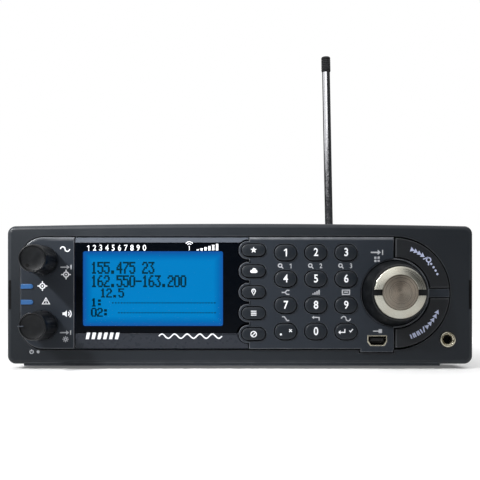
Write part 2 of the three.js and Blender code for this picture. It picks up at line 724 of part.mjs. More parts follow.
function rubberFoot(name, x, y) {
  const { radius, height } = FOOT;
  const profile = [
    [0, 0],
    [radius - 0.6, 0],
    [radius, 0.6],
    [radius, height],
    [0, height],
  ];
  return part(name, turnedZ(profile, x, y, 16), MATERIALS.rubber);
}

// ---------------------------------------------------------------- rear connectors
// Depths are measured from the rear edges of the case, and negative is inside it.

function antennaJack() {
  const { x, z } = ANTENNA_JACK;
  const profile = [
    [0, -9],
    [5.8, -9],
    [5.8, -3],
    [4.8, -3],
    [4.8, -0.3],
    [6.6, -0.3],
    [6.6, 1.8],
    [4.8, 1.8],
    [4.8, 11.5],
    [4.1, 11.5],
    [4.1, 4],
    [1.5, 4],
    [1.5, 10],
    [0, 10],
  ];
  const lug = rodX(1, x - 5.5, x - 4.5, 9, z, 8).add(rodX(1, x + 4.5, x + 5.5, 9, z, 8));
  return part('antenna_jack', join(turnedY(profile, x, z, 20), lug), MATERIALS.nickel);
}

function audioJack(name, x) {
  const { z, neck, ring, bore } = AUDIO_JACKS;
  const bodyFront = -13;
  const profile = [
    [bore, -12],
    [neck, -12],
    [neck, -0.3],
    [ring, -0.3],
    [ring, 0.9],
    [bore, 0.9],
    [bore, -12],
  ];
  const housing = box(x - 4, x + 4, bodyFront, -3, z - 6.6, z + 4.4);
  const body = cut(housing, rodY(neck - 0.1, bodyFront + 1, 0, x, z, 20));
  return part(name, join(turnedY(profile, x, z, 20), body), MATERIALS.blackPlastic);
}

function powerJack() {
  const { x, z, neck, ring, bore, pin } = POWER_JACK;
  const profile = [
    [0, -12],
    [neck, -12],
    [neck, -0.3],
    [ring, -0.3],
    [ring, 1.2],
    [bore, 1.2],
    [bore, -9],
    [pin, -9],
    [pin, 0.4],
    [0, 0.4],
  ];
  const body = cut(box(x - 6, x + 6, -13, -3, z - 7.6, z + 6), rodY(neck - 0.1, -11, 0, x, z, 20));
  return part('power_jack', join(turnedY(profile, x, z, 20), body), MATERIALS.blackPlastic);
}

// The nine-pin data connector: a thin shell around two rows of pins.
function serialPort() {
  const { x, z, flangeWidth, flangeHeight, shellWidth, shellHeight, pinPitch } = SERIAL;
  const reach = flangeWidth / 2;
  const rise = flangeHeight / 2;
  const flange = box(x - reach, x + reach, -0.3, 0.7, z - rise, z + rise);
  const shell = plateY(serialOutline(shellWidth, shellHeight), -12, 6.2);
  const recess = plateY(serialOutline(shellWidth - 1, shellHeight - 1), 1.2, 7);
  const posts = [-1, 1].map((side) => rodY(2.4, 0.5, 5, x + side * 12.5, z, 6));
  const pins = [];
  for (let place = -2; place <= 2; place += 0.5) {
    const row = Number.isInteger(place) ? 1 : -1;
    pins.push(rodY(0.5, 0, 5.6, x + place * pinPitch, z + row * 1.4, 6));
  }
  return part('serial_port', join(cut(shell, recess), flange, ...posts, ...pins), MATERIALS.tinPlate);
}

// ---------------------------------------------------------------- antenna
// Drawn upright, with the jack's axis along Y at the group's origin.

// The plug that enters the jack, and behind it a fork with a pin that the mast turns on.
function antennaPlug() {
  const profile = [
    [2.2, 4.8],
    [3.8, 4.8],
    [3.8, 12.4],
    [4.2, 12.4],
    [4.2, 15.9],
    [6, 15.9],
    [6, 20],
    [0, 20],
    [0, 14],
    [2.2, 14],
    [2.2, 4.8],
  ];
  const ears = [-1, 1].map((side) => {
    const inner = side * 2.8;
    const outer = side * 4.6;
    const x = [Math.min(inner, outer), Math.max(inner, outer)];
    return join(
      box(...x, 19.5, ELBOW_Y, -ELBOW_RADIUS, ELBOW_RADIUS),
      rodX(ELBOW_RADIUS, ...x, ELBOW_Y, 0, 16),
    );
  });
  const pin = rodX(1.1, -4, 4, ELBOW_Y, 0, 12);
  return part('antenna_plug', join(turnedY(profile, 0, 0, 20), ...ears, pin), MATERIALS.nickel);
}

// The bayonet collar turns on the plug and pulls it onto the jack's lugs.
function antennaCollar() {
  const profile = [
    [5.9, 3],
    [7.2, 3],
    [7.2, 15.5],
    [4.6, 15.5],
    [4.6, 12],
    [5.9, 12],
    [5.9, 3],
  ];
  return part('antenna_collar', turnedY(profile, 0, 0, 24), MATERIALS.nickel);
}

// A tube that is open at the top and closed at the bottom.
function tubeProfile(outer, inner, bottom) {
  const top = MAST_TOP - TIP_HEIGHT - 0.4;
  const floor = bottom + 0.6;
  return [
    [0, bottom],
    [outer, bottom],
    [outer, top],
    [inner, top],
    [inner, floor],
    [0, floor],
  ];
}

// The outer tube, with the knuckle that turns in the plug's fork.
function outerTube() {
  const { name, outer, inner, bottom } = TUBES[0];
  const knuckle = rodX(4.2, -2.4, 2.4, ELBOW_Y, 0, 16);
  const stemProfile = [
    [0, 2],
    [2.3, 2],
    [2.3, 4.6],
    [3.3, 5.2],
    [3.3, 9.5],
    [outer, 11],
    [0, 11],
  ];
  const stem = turnedZ(stemProfile, 0, ELBOW_Y, 16);
  const tube = turnedZ(tubeProfile(outer, inner, bottom - 0.1), 0, ELBOW_Y, 16);
  const pinHole = rodX(1.5, -5, 5, ELBOW_Y, 0, 12);
  return part(name, cut(join(knuckle, stem, tube), pinHole), MATERIALS.chrome);
}

function innerTube({ name, outer, inner, bottom }) {
  return part(name, turnedZ(tubeProfile(outer, inner, bottom), 0, ELBOW_Y, 12), MATERIALS.chrome);
}

function antennaTip() {
  const capBottom = MAST_TOP - TIP_HEIGHT;
  const profile = [
    [0, TIP.rodBottom],
    [TIP.rod, TIP.rodBottom],
    [TIP.rod, capBottom],
    [TIP.cap - 0.8, capBottom],
    [TIP.cap, capBottom + 0.8],
    [TIP.cap, MAST_TOP - 0.8],
    [TIP.cap - 0.8, MAST_TOP],
    [0, MAST_TOP],
  ];
  return part('antenna_tip', turnedZ(profile, 0, ELBOW_Y, 16), MATERIALS.blackPlastic);
}

// ---------------------------------------------------------------- assembly

function group(x, y, z, children) {
  const made = new THREE.Group();
  made.position.set(x, y, z);
  made.add(...children);
  return made;
}

const squelchZ = MID_Z + KNOB_OFFSET_Z;
const volumeZ = MID_Z - KNOB_OFFSET_Z;
const knobShaftFront = KNOB_FRONT + 5;
const dialShaftFront = DIAL_FRONT + 3.8;

const front = group(0, FACE_Y, 0, [
  frontBezel(),
  controlPanel(),
  displayWindow(),
  displayModule(),
  keypadMat(),
  controlBoard(),
  usbPort(),
  headphoneJack(),
  lightPipe('upper_light_pipe', PIPES.upper),
  lightPipe('lower_light_pipe', PIPES.lower),
  controlBody('squelch_control', KNOB_X, squelchZ, 5.6, 6),
  controlBody('volume_control', KNOB_X, volumeZ, 5.6, 6),
  controlBody('dial_encoder', DIAL_X, MID_Z, 7, 7),
  controlShaft('squelch_shaft', KNOB_X, squelchZ, knobShaftFront),
  controlShaft('volume_shaft', KNOB_X, volumeZ, knobShaftFront),
  controlShaft('dial_shaft', DIAL_X, MID_Z, dialShaftFront),
  knob('squelch_knob', KNOB_OFFSET_Z),
  knob('volume_knob', -KNOB_OFFSET_Z),
  dialKnob(),
  dialCap(),
  arcKey('key_scan', 1),
  arcKey('key_hold', -1),
  ...barKeys.map(barKey),
]);

const housing = group(0, FACE_Y, 0, [
  bottomTray(),
  topCover(),
  rearPanel(),
  mainBoard(),
  tunerShield(),
  speaker(),
  rubberFoot('foot_front_left', -FOOT.x, FOOT.front),
  rubberFoot('foot_front_right', FOOT.x, FOOT.front),
  rubberFoot('foot_rear_left', -FOOT.x, FOOT.back),
  rubberFoot('foot_rear_right', FOOT.x, FOOT.back),
]);

const rear = group(0, REAR_Y, 0, [
  antennaJack(),
  audioJack('record_jack', AUDIO_JACKS.recordX),
  audioJack('speaker_jack', AUDIO_JACKS.speakerX),
  powerJack(),
  serialPort(),
]);

const antenna = group(ANTENNA_JACK.x, REAR_Y, ANTENNA_JACK.z, [
  antennaPlug(),
  antennaCollar(),
  outerTube(),
  innerTube(TUBES[1]),
  innerTube(TUBES[2]),
  antennaTip(),
]);
antenna.rotation.y = -ANTENNA_LEAN;

const radio = new THREE.Group();
radio.add(front, housing, rear, antenna);
export default radio;
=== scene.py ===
"""The looks of a mobile scanning receiver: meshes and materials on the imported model's frame."""

import math

import bmesh
import bpy
from mathutils import Matrix, Vector
from mathutils.geometry import tessellate_polygon


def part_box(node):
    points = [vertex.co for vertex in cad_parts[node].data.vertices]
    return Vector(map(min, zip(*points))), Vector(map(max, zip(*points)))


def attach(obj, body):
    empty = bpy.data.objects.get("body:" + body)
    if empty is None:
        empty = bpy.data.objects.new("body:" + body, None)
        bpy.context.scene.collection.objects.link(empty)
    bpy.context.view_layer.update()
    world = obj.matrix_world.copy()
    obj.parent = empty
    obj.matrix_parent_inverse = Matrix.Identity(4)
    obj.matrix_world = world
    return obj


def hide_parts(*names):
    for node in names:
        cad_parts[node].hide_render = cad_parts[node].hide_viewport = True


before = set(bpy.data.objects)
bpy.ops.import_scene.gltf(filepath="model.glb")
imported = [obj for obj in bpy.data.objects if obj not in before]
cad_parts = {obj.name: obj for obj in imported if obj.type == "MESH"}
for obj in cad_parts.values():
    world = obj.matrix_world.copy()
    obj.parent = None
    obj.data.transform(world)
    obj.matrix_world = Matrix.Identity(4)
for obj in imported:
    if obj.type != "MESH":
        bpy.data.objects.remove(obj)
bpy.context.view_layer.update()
MM = 0.001


# ------------------------------------------------------------------ places, in millimetres


def span(node):
    low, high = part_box(node)
    return Vector(low) / MM, Vector(high) / MM


def middle(node):
    low, high = span(node)
    return (low + high) / 2


BEZEL_LOW, BEZEL_HIGH = span("front_bezel")
PANEL_LOW, PANEL_HIGH = span("control_panel")
WINDOW_LOW, WINDOW_HIGH = span("display_window")
COVER_HIGH = span("top_cover")[1]
DIAL = middle("dial_knob")
SQUELCH = middle("squelch_knob")
VOLUME = middle("volume_knob")
USB = middle("usb_port")
PHONES = middle("headphone_jack")
JACK = middle("antenna_jack")

FACE = BEZEL_LOW.y  # the bezel's front face
REAR = COVER_HIGH.y  # the rear edges of the case
MID_Z = DIAL.z
FLANGE_GROW = 1.5  # how far the control panel's hidden flange reaches past its visible outline
AREA_LEFT = PANEL_LOW.x + FLANGE_GROW
AREA_HALF = (PANEL_HIGH.z - MID_Z) - FLANGE_GROW
AREA_CORNER = 9
WELL_RADIUS = 13.0  # the round well around the dial
PAD = FACE - 1.2  # the raised surface around the keys and knobs
PLATE_BACK = FACE + 3.7
WINDOW_SPLIT = WINDOW_LOW.x - 0.4
KEY_RIM = 0.9  # the hidden rim around each key's cap
KEY_GAP = 0.35
BUMP_RADIUS = 3.6  # the panel's round bump at the left end of each function key
BEZEL_ROUND = 1.8
BEZEL_CROWN = 0.95  # how far the middle of the bezel's top edge stands above its ends
LIP_DROP = 0.75  # how far the lip reaches below the bezel's lower edge
USB_TAB = {"left": 47.4, "right": 60.3, "bottom": 6.5}  # the keypad's tab below the USB port
LENS_GAP = 0.02  # the clear pane sits just inside the window's printed border
LENS_THICKNESS = 0.8
TOP_ROLL = 4  # the raised surfaces roll over this much further along their top edges
DISPLAY = {"x": -34.3, "z": 31.5, "width": 55.2, "height": 29.4}

NUMBER_KEYS = [f"key_{name}" for name in (1, 2, 3, 4, 5, 6, 7, 8, 9, "dot", 0, "enter")]
FUNCTION_KEYS = ["key_priority", "key_weather", "key_location", "key_menu", "key_lockout"]


# ------------------------------------------------------------------ materials


def srgb(red, green, blue):
    """A colour given as it looks on screen, from 0 to 255, as linear light."""

    def linear(value):
        value /= 255
        return value / 12.92 if value <= 0.04045 else ((value + 0.055) / 1.055) ** 2.4

    return (linear(red), linear(green), linear(blue), 1.0)


def mixed(first, second, share):
    return tuple(a + (b - a) * share for a, b in zip(first, second))


class Shader:
    """A principled material and short ways to add nodes to it."""

    def __init__(self, name, color, roughness, metallic=0.0, **sockets):
        self.material = bpy.data.materials.new(name)
        self.material.use_nodes = True
        self.nodes = self.material.node_tree.nodes
        self.links = self.material.node_tree.links
        self.principled = self.nodes["Principled BSDF"]
        self.color = color
        self.roughness = roughness
        self.feed(self.principled, {"Base Color": color, "Roughness": roughness, "Metallic": metallic})
        self.feed(self.principled, {socket.replace("_", " "): value for socket, value in sockets.items()})
        self.place = self.nodes.new("ShaderNodeTexCoord").outputs["Object"]
        self.bump_height = None

    def feed(self, node, inputs):
        """Sets each input to a value, or links it to another node's output."""
        for socket, value in inputs.items():
            if isinstance(value, bpy.types.NodeSocket):
                self.links.new(value, node.inputs[socket])
            else:
                node.inputs[socket].default_value = value

    def node(self, kind, inputs, **settings):
        """Adds a node, and gives its first output."""
        node = self.nodes.new("ShaderNode" + kind)
        for setting, value in settings.items():
            setattr(node, setting, value)
        self.feed(node, inputs)
        return next(output for output in node.outputs if output.enabled)

    def compute(self, operation, *values):
        return self.node("Math", dict(enumerate(values)), operation=operation)

    def noise(self, scale, detail=3.0):
        """Noise over the object; scale is in features per millimetre."""
        scaled = self.node("Mapping", {"Vector": self.place, "Scale": Vector((1, 1, 1)) * scale / MM})
        return self.node("TexNoise", {"Vector": scaled, "Scale": 1.0, "Detail": detail})

    def spread(self, value, low, high, start=0.3, end=0.7):
        """A value from start to end, spread from low to high."""
        limits = {"From Min": start, "From Max": end, "To Min": low, "To Max": high}
        return self.node("MapRange", {"Value": value, **limits})

    def vary_roughness(self, value, change):
        rough = self.spread(value, self.roughness - change, self.roughness + change)
        self.feed(self.principled, {"Roughness": rough})

    def vary_color(self, value, other):
        """The base colour fades to another one where the value is high."""
        faded = self.node("Mix", {"A": self.color, "B": other, "Factor": value}, data_type="RGBA")
        self.feed(self.principled, {"Base Color": faded})

    def bump(self, value, depth):
        """Adds relief of that depth in millimetres."""
        inputs = {"Strength": 1.0, "Distance": depth * MM, "Height": value}
        if self.bump_height:
            inputs["Normal"] = self.bump_height
        self.bump_height = self.node("Bump", inputs)
        self.feed(self.principled, {"Normal": self.bump_height})

    def worn_edges(self, other, amount=0.5):
        """Outer edges are a little lighter in patches: rubbed wear, and where the amount is large a painted
        highlight on the rounded edges.
        """
        wear_and_highlight = self.node("Attribute", {}, attribute_name="wear_and_highlight").node.outputs["Fac"]
        patches = self.spread(self.noise(0.25, detail=5), amount * 0.5, amount)
        self.vary_color(self.compute("MULTIPLY", wear_and_highlight, patches), other)

    def glow(self, color, strength):
        self.feed(self.principled, {"Emission Color": color, "Emission Strength": strength})


def grained_plastic(name, color, roughness, grain=3.0, depth=0.012, edge=0.35):
    """Moulded plastic with a fine spark-eroded grain."""
    shader = Shader(name, color, roughness, Specular_IOR_Level=0.22)
    shader.bump(shader.noise(grain, detail=4), depth)
    shader.vary_roughness(shader.noise(0.12), 0.05)
    # lighter edges: wear, and with a large edge amount a painted highlight on the rounded edges
    shader.worn_edges(mixed(color, (0.3, 0.31, 0.33, 1), 0.35), edge)
    return shader.material


def soft_rubber(name, color, roughness=0.55):
    shader = Shader(name, color, roughness, Specular_IOR_Level=0.25)
    shader.bump(shader.noise(5, detail=5), 0.008)
    shader.vary_roughness(shader.noise(0.3), 0.07)
    dust = shader.spread(shader.noise(0.5, detail=6), 0, 0.05, start=0.45, end=0.8)
    shader.vary_color(dust, mixed(color, (0.17, 0.19, 0.22, 1), 0.5))
    return shader.material


def bright_plating(name, color, roughness):
    shader = Shader(name, color, roughness, metallic=1.0)
    shader.vary_roughness(shader.noise(0.4, detail=5), roughness * 0.35)
    shader.bump(shader.noise(0.8, detail=3), 0.0006)
    return shader.material


def turned_aluminium(name, color, stain=srgb(150, 132, 112), relief=0.01):
    """Fine circular tool marks around the dial's axis."""
    shader = Shader(name, color, 0.3, metallic=1.0, Anisotropic=0.65)
    tangent = shader.node("Tangent", {}, direction_type="RADIAL", axis="Y")
    shader.feed(shader.principled, {"Tangent": tangent})
    offset = shader.node("VectorMath", {0: shader.place, 1: DIAL * MM}, operation="SUBTRACT")
    flat = shader.node("VectorMath", {0: offset, 1: (1, 0, 1)}, operation="MULTIPLY")
    radius = shader.node("VectorMath", {0: flat}, operation="LENGTH")
    rings = shader.node("TexNoise", {"W": radius, "Scale": 4 / MM, "Detail": 4}, noise_dimensions="1D")
    shader.bump(rings, relief)
    shader.vary_roughness(rings, 0.09)
    tarnish = shader.spread(shader.noise(0.2, detail=4), 0, 0.5)
    shader.vary_color(tarnish, mixed(color, stain, 0.6))
    return shader.material


def painted_steel(name, color):
    """Baked enamel with a fine orange-peel texture."""
    shader = Shader(name, color, 0.6, Specular_IOR_Level=0.14)
    shader.bump(shader.noise(2.2, detail=2), 0.02)
    shader.vary_roughness(shader.noise(0.08), 0.02)
    shader.worn_edges(srgb(95, 97, 100), 0.3)
    return shader.material


def circuit_board(name):
    """Green board with fine traces."""
    shader = Shader(name, srgb(22, 74, 44), 0.4)
    scaled = shader.node("Mapping", {"Vector": shader.place, "Scale": Vector((1, 1, 1)) * 0.35 / MM})
    bricks = shader.node("TexBrick", {"Vector": scaled, "Scale": 1.0, "Mortar Size": 0.06})
    traces = bricks.node.outputs["Fac"]
    shader.vary_color(traces, srgb(60, 120, 70))
    shader.bump(traces, 0.03)
    return shader.material


def white_print(name, color=srgb(214, 216, 220)):
    """Screen-printed ink, a little uneven."""
    shader = Shader(name, color, 0.55)
    thin = shader.spread(shader.noise(2.5, detail=4), 0, 0.35, start=0.4, end=0.75)
    shader.vary_color(thin, mixed(color, srgb(150, 152, 156), 0.7))
    shader.bump(shader.noise(6), 0.004)
    return shader.material


def clear_lens(name):
    """A clear acrylic pane: you see through it, and its coat keeps most of the reflection away."""
    shader = Shader(name, (1, 1, 1, 1), 0.08)
    clear = shader.node("BsdfTransparent", {"Color": (0.97, 0.98, 1.0, 1)})
    gloss = shader.node("BsdfGlossy", {"Roughness": 0.12})
    fresnel = shader.node("Fresnel", {"IOR": 1.45})
    to_camera = shader.node("LightPath", {}).node.outputs["Is Camera Ray"]
    seen = shader.compute("MULTIPLY", shader.compute("MULTIPLY", fresnel, 0.05), to_camera)
    pane = shader.node("MixShader", {"Fac": seen, 1: clear, 2: gloss})
    shader.feed(shader.nodes["Material Output"], {"Surface": pane})
    shader.nodes.remove(shader.principled)
    return shader.material


def lit_screen(name):
    """A backlit liquid crystal field: clear blue in the middle, more violet towards the edges."""
    shader = Shader(name, srgb(0, 20, 34), 0.5, Specular_IOR_Level=0.02)
    centre = Vector((DISPLAY["x"], 0, DISPLAY["z"])) * MM
    offset = shader.node("VectorMath", {0: shader.place, 1: centre}, operation="SUBTRACT")
    along = shader.node("SeparateXYZ", {"Vector": offset}).node.outputs
    fade_start, fade_end = -3.8, 0.6  # from the field's edge

    def nearness(axis, half):
        """0 well inside the field and 1 at its edge, along one axis."""
        reach = shader.compute("ABSOLUTE", along[axis])
        return shader.spread(reach, 0, 1, start=(half + fade_start) * MM, end=(half + fade_end) * MM)

    sides = nearness("X", DISPLAY["width"] / 2)
    edge = shader.compute("MAXIMUM", sides, nearness("Z", DISPLAY["height"] / 2))
    blue = shader.node("ValToRGB", {"Fac": edge})
    stops = blue.node.color_ramp.elements
    stops[0].color = srgb(0, 126, 192)
    stops[1].color = srgb(28, 74, 156)
    stops.new(0.45).color = srgb(0, 107, 176)
    shader.glow(blue, 1.0)
    return shader.material


def blue_light(name):
    shader = Shader(name, srgb(40, 78, 122), 0.25, Specular_IOR_Level=0.5)
    shader.glow(srgb(40, 92, 150), 0.3)
    shader.bump(shader.noise(1.2), 0.02)
    return shader.material


def plain(name, color, roughness, relief=0.004, gloss=0.15):
    """Small, hidden or dark parts: a colour with a little unevenness."""
    shader = Shader(name, color, roughness, Specular_IOR_Level=gloss)
    shader.vary_roughness(shader.noise(0.6, detail=4), roughness * 0.2)
    shader.bump(shader.noise(3), relief)
    return shader.material


MATERIAL = {
    # edge sets how much lighter the rounded edges are: wear, and on the bezel and the panel, with their
    # larger amounts, mostly a painted highlight on the bevels
    "bezel": grained_plastic("bezel_plastic", srgb(26, 30, 35), 0.45, edge=0.6),
    "panel": grained_plastic("panel_plastic", srgb(31, 36, 43), 0.4, grain=4, edge=1.0),
    "key": grained_plastic("key_rubber", srgb(19, 24, 30), 0.4, grain=5, depth=0.006),
    "arc_key": grained_plastic("curved_key_plastic", srgb(26, 28, 31), 0.4, grain=4, depth=0.008),
    "knob": soft_rubber("knob_rubber", srgb(7, 9, 12), 0.4),
    # near-black for the release slots, the bed behind the gaps, the squelch dimple and the jack's throat:
    # painted shade
    "groove": plain("painted_shade_black", srgb(4, 4, 5), 0.8),
    "window_print": plain("window_print", srgb(3, 5, 9), 0.2, relief=0.0003, gloss=0.07),
    "window_band": plain("window_band", srgb(40, 43, 49), 0.3, relief=0.0003),
    # light grey for the window's sloping top edge: a painted sheen; the volume knob's tick uses it as a
    # painted glint
    "window_slope_sheen": plain("window_slope_sheen", srgb(66, 71, 79), 0.3, relief=0.0003),
    "lens": clear_lens("window_lens"),
    "screen": lit_screen("lit_screen"),
    "marks": plain("screen_marks", srgb(2, 34, 44), 0.8, gloss=0.02),
    "print": white_print("white_print", srgb(222, 224, 228)),
    "dim_print": white_print("grey_print", srgb(160, 162, 167)),
    "blue_print": white_print("bluish_print", srgb(168, 176, 204)),
    "light_pipe": blue_light("light_pipe_blue"),
    "turned": turned_aluminium("turned_aluminium", srgb(182, 182, 172)),
    "dial_disc": turned_aluminium("turned_disc", srgb(156, 149, 138), srgb(142, 120, 100), relief=0.005),
    "chrome": bright_plating("chrome_plate", srgb(216, 216, 220), 0.14),
    "nickel": bright_plating("nickel_plate", srgb(182, 177, 160), 0.25),
    "case": painted_steel("case_enamel", srgb(27, 28, 31)),
    "board": circuit_board("circuit_board"),
    "silicone": plain("silicone", srgb(140, 142, 146), 0.6),
    "black_plastic": grained_plastic("black_plastic", srgb(20, 20, 22), 0.5),
    "tin": bright_plating("tin_plate", srgb(176, 178, 180), 0.32),
    "foot": soft_rubber("foot_rubber", srgb(16, 16, 16), 0.7),
    "screw": bright_plating("zinc_screw", srgb(60, 60, 62), 0.35),
}


# ------------------------------------------------------------------ mesh building, in millimetres

WALL_BORDER = 0.2  # a ring this far behind a rounded edge keeps the edge's wear and painted highlight off the wall


class Builder:
    """Mesh geometry made of rings of vertices, in millimetres."""

    def __init__(self, place=None):
        self.bm = bmesh.new()
        self.place = place or Matrix.Identity(4)

    def ring(self, points):
        return [self.bm.verts.new(self.place @ Vector(point)) for point in points]

    def face(self, *corners):
        self.bm.faces.new(corners)

    def bridge(self, first, second):
        """Joins two rings; either of them may be a single vertex."""
        count = max(len(first), len(second))
        if count == 1:
            return
        for i in range(count):
            j = (i + 1) % count
            if len(first) == 1:
                self.face(first[0], second[j], second[i])
            elif len(second) == 1:
                self.face(first[i], first[j], second[0])
            else:
                self.face(first[i], first[j], second[j], second[i])

    def fill(self, outer, holes=()):
        """A flat face inside a ring, with holes."""
        loops = [outer, *holes]
        corners = [corner for loop in loops for corner in loop]
        for triangle in tessellate_polygon([[corner.co for corner in loop] for loop in loops]):
            self.face(*[corners[i] for i in triangle])

    def chain(self, rings, closed=False):
        """Joins rings in order, and the last one to the first when closed."""
        for first, second in zip(rings, rings[1:] + rings[: int(closed)]):
            self.bridge(first, second)

    def loft(self, rings):
        """Joins rings in order and fills both ends."""
        self.chain(rings)
        self.fill(rings[0])
        self.fill(rings[-1])

    def layers(self, outline, steps):
        """Rings through (grow, depth) steps, joined in order; gives the first and the last ring."""
        rings = [self.ring(facing(outline, grow, depth)) for grow, depth in steps]
        self.chain(rings)
        return rings[0], rings[-1]

    def plate(self, outer, holes, front, back, edge=0.25, hole_edge=0.15):
        """A plate with rounded front edges, and holes right through it."""
        outer_back, outer_front = self.layers(outer, [(0, back), *edge_steps(front, edge)])
        hole_rings = []
        for hole in holes:
            steps = [(0, back)] + [(-grow, depth) for grow, depth in edge_steps(front, hole_edge)]
            hole_rings.append(self.layers(hole, steps))
        self.fill(outer_front, [last for first, last in hole_rings])
        self.fill(outer_back, [first for first, last in hole_rings])

    def cap(self, outline, steps):
        """A solid with a filled back and front, through (grow, depth) steps."""
        back, front = self.layers(outline, steps)
        self.fill(back)
        self.fill(front)

    def lathe(self, profile, centre, axis="Y", segments=64, closed=False, groove=None):
        """A profile of (radius, place along the axis), turned about the axis.

        groove, if there is one, says how deep it is at a radius, a place along and a step around.
        """
        rings = []
        for radius, along in profile:
            ring = []
            for k in range(segments if radius > 1e-6 else 1):
                depth = groove(radius, along, k) if groove else 0
                ring.append(around(centre, axis, radius - depth, along, math.tau * k / segments))
            rings.append(self.ring(ring))
        self.chain(rings, closed)

    def prism(self, points, front, back):
        """A flat polygon of (x, z) points with a thickness."""
        self.loft([self.ring([(x, y, z) for x, z in points]) for y in (front, back)])

    def mark_wear(self):
        """Notes at each vertex how sharply the surface turns outwards there: the mask for the edges' wear and
        painted highlight.
        """
        wear_and_highlight = self.bm.verts.layers.float.new("wear_and_highlight")
        smooth, full = math.radians(8), math.radians(28)
        for edge in self.bm.edges:
            turn = edge.calc_face_angle_signed(0) if edge.is_manifold else 0
            amount = min(max((turn - smooth) / (full - smooth), 0), 1)
            for vertex in edge.verts:
                vertex[wear_and_highlight] = max(vertex[wear_and_highlight], amount)

    def piece(self, name, material, body, replaces=(), sharp=32):
        """Ends the building: one named object that rides on a body."""
        bmesh.ops.remove_doubles(self.bm, verts=self.bm.verts, dist=1e-4)
        bmesh.ops.recalc_face_normals(self.bm, faces=self.bm.faces)
        self.mark_wear()
        mesh = bpy.data.meshes.new(name)
        self.bm.to_mesh(mesh)
        self.bm.free()
        mesh.transform(Matrix.Scale(MM, 4))
        mesh.materials.append(MATERIAL[material])
        mesh.shade_smooth()
        mesh.set_sharp_from_angle(angle=math.radians(sharp))
        made = bpy.data.objects.new(name, mesh)
        bpy.context.scene.collection.objects.link(made)
        if replaces:
            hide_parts(*replaces)
        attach(made, body)
        return made


def around(centre, axis, radius, along, angle):
    """A point at an angle around an axis through the centre."""
    across, up = radius * math.cos(angle), radius * math.sin(angle)
    if axis == "X":
        return (along, centre[1] + across, centre[2] + up)
    if axis == "Y":
        return (centre[0] + across, along, centre[2] + up)
    return (centre[0] + across, centre[1] + up, along)


def facing(outline, grow, depth):
    return [(x, depth, z) for x, z in outline(grow)]


def edge_steps(front, radius, steps=4, borders=(0.05, 0.2)):
    """(grow, depth) steps round an edge, from the side wall to the front face."""
    made = [(0, front + radius + WALL_BORDER)]
    for k in range(steps + 1):
        angle = math.radians(90 * k / steps)
        made.append((-radius * (1 - math.cos(angle)), front + radius * (1 - math.sin(angle))))
    for border in borders:  # flat rings that keep the face's shading, wear and painted highlight flat
        made.append((-radius - border, front))
    return made


# ------------------------------------------------------------------ outlines: functions of a growth


def arc(x, z, radius, start, end, steps):
    """Points along an arc, with angles in degrees."""
    made = []
    for k in range(steps + 1):
        angle = math.radians(start + (end - start) * k / steps)
        made.append((x + radius * math.cos(angle), z + radius * math.sin(angle)))
    return made


def area(grow):
    """The control area: two rounded corners on the left and a half circle on the right."""
    half = AREA_HALF + grow
    corner_x = AREA_LEFT + AREA_CORNER
    corner_z = AREA_HALF - AREA_CORNER
    corner = AREA_CORNER + grow
    points = arc(DIAL.x, MID_Z, half, -90, 90, 48)
    points += arc(corner_x, MID_Z + corner_z, corner, 90, 180, 14)
    points += arc(corner_x, MID_Z - corner_z, corner, 180, 270, 14)
    return points


def bezel(grow):
    """The bezel: rounded corners, and a top edge that rises gently to the middle."""
    radius = max(3.2 + grow, 0.4)
    half = BEZEL_HIGH.x + grow - radius
    low = BEZEL_LOW.z + LIP_DROP - grow + radius
    high = BEZEL_HIGH.z - BEZEL_CROWN + grow - radius
    points = arc(half, low, radius, -90, 0, 8) + arc(half, high, radius, 0, 90, 8)
    steps = 24
    for k in range(1, steps):
        share = k / steps
        rise = 4 * BEZEL_CROWN * share * (1 - share)
        points.append((half - 2 * half * share, high + radius + rise))
    return points + arc(-half, high, radius, 90, 180, 8) + arc(-half, low, radius, 180, 270, 8)


def bar(x, z, width, height, steps=12):
    """A bar with half-circle ends."""

    def outline(grow):
        radius = height / 2 + grow
        reach = (width - height) / 2
        return arc(x + reach, z, radius, -90, 90, steps) + arc(x - reach, z, radius, 90, 270, steps)

    return outline


def rounded_box(x0, x1, z0, z1, radius, steps=6):
    def outline(grow):
        r = max(radius + grow, 0.01)
        left, right = x0 - grow + r, x1 + grow - r
        low, high = z0 - grow + r, z1 + grow - r
        points = arc(right, low, r, -90, 0, steps) + arc(right, high, r, 0, 90, steps)
        return points + arc(left, high, r, 90, 180, steps) + arc(left, low, r, 180, 270, steps)

    return outline


def disc(x, z, radius, steps=64):
    def outline(grow):
        return arc(x, z, radius + grow, 0, 360 - 360 / steps, steps - 1)

    return outline


def arc_key(side):
    """One of the two curved keys, above (side 1) or below (side -1) the divider."""
    inner_radius, outer_radius = 14.05, 21.5
    left, divider = 0.35, 2.05

    def outline(grow):
        inner, outer = inner_radius - grow, outer_radius + grow
        edge_x, edge_z = left - grow, divider - grow

        def ends(radius):
            return [side * math.degrees(a) for a in (math.asin(edge_z / radius), math.acos(edge_x / radius))]

        low_outer, high_outer = ends(outer)
        low_inner, high_inner = ends(inner)
        points = arc(DIAL.x, MID_Z, outer, low_outer, high_outer, 28)
        return points + arc(DIAL.x, MID_Z, inner, high_inner, low_inner, 24)

    return outline


def usb_shape(grow):
    """A mini-B socket: wide at the top, with its lower corners drawn in."""
    half, rise = 3.85 + grow, 2.1 + grow
    step, shoulder = 1.1, 1.6
    right = [(half - step, -rise), (half, shoulder - rise), (half, rise)]
    left = [(-x, z) for x, z in reversed(right)]
    return [(USB.x + x, USB.z + z) for x, z in right + left]


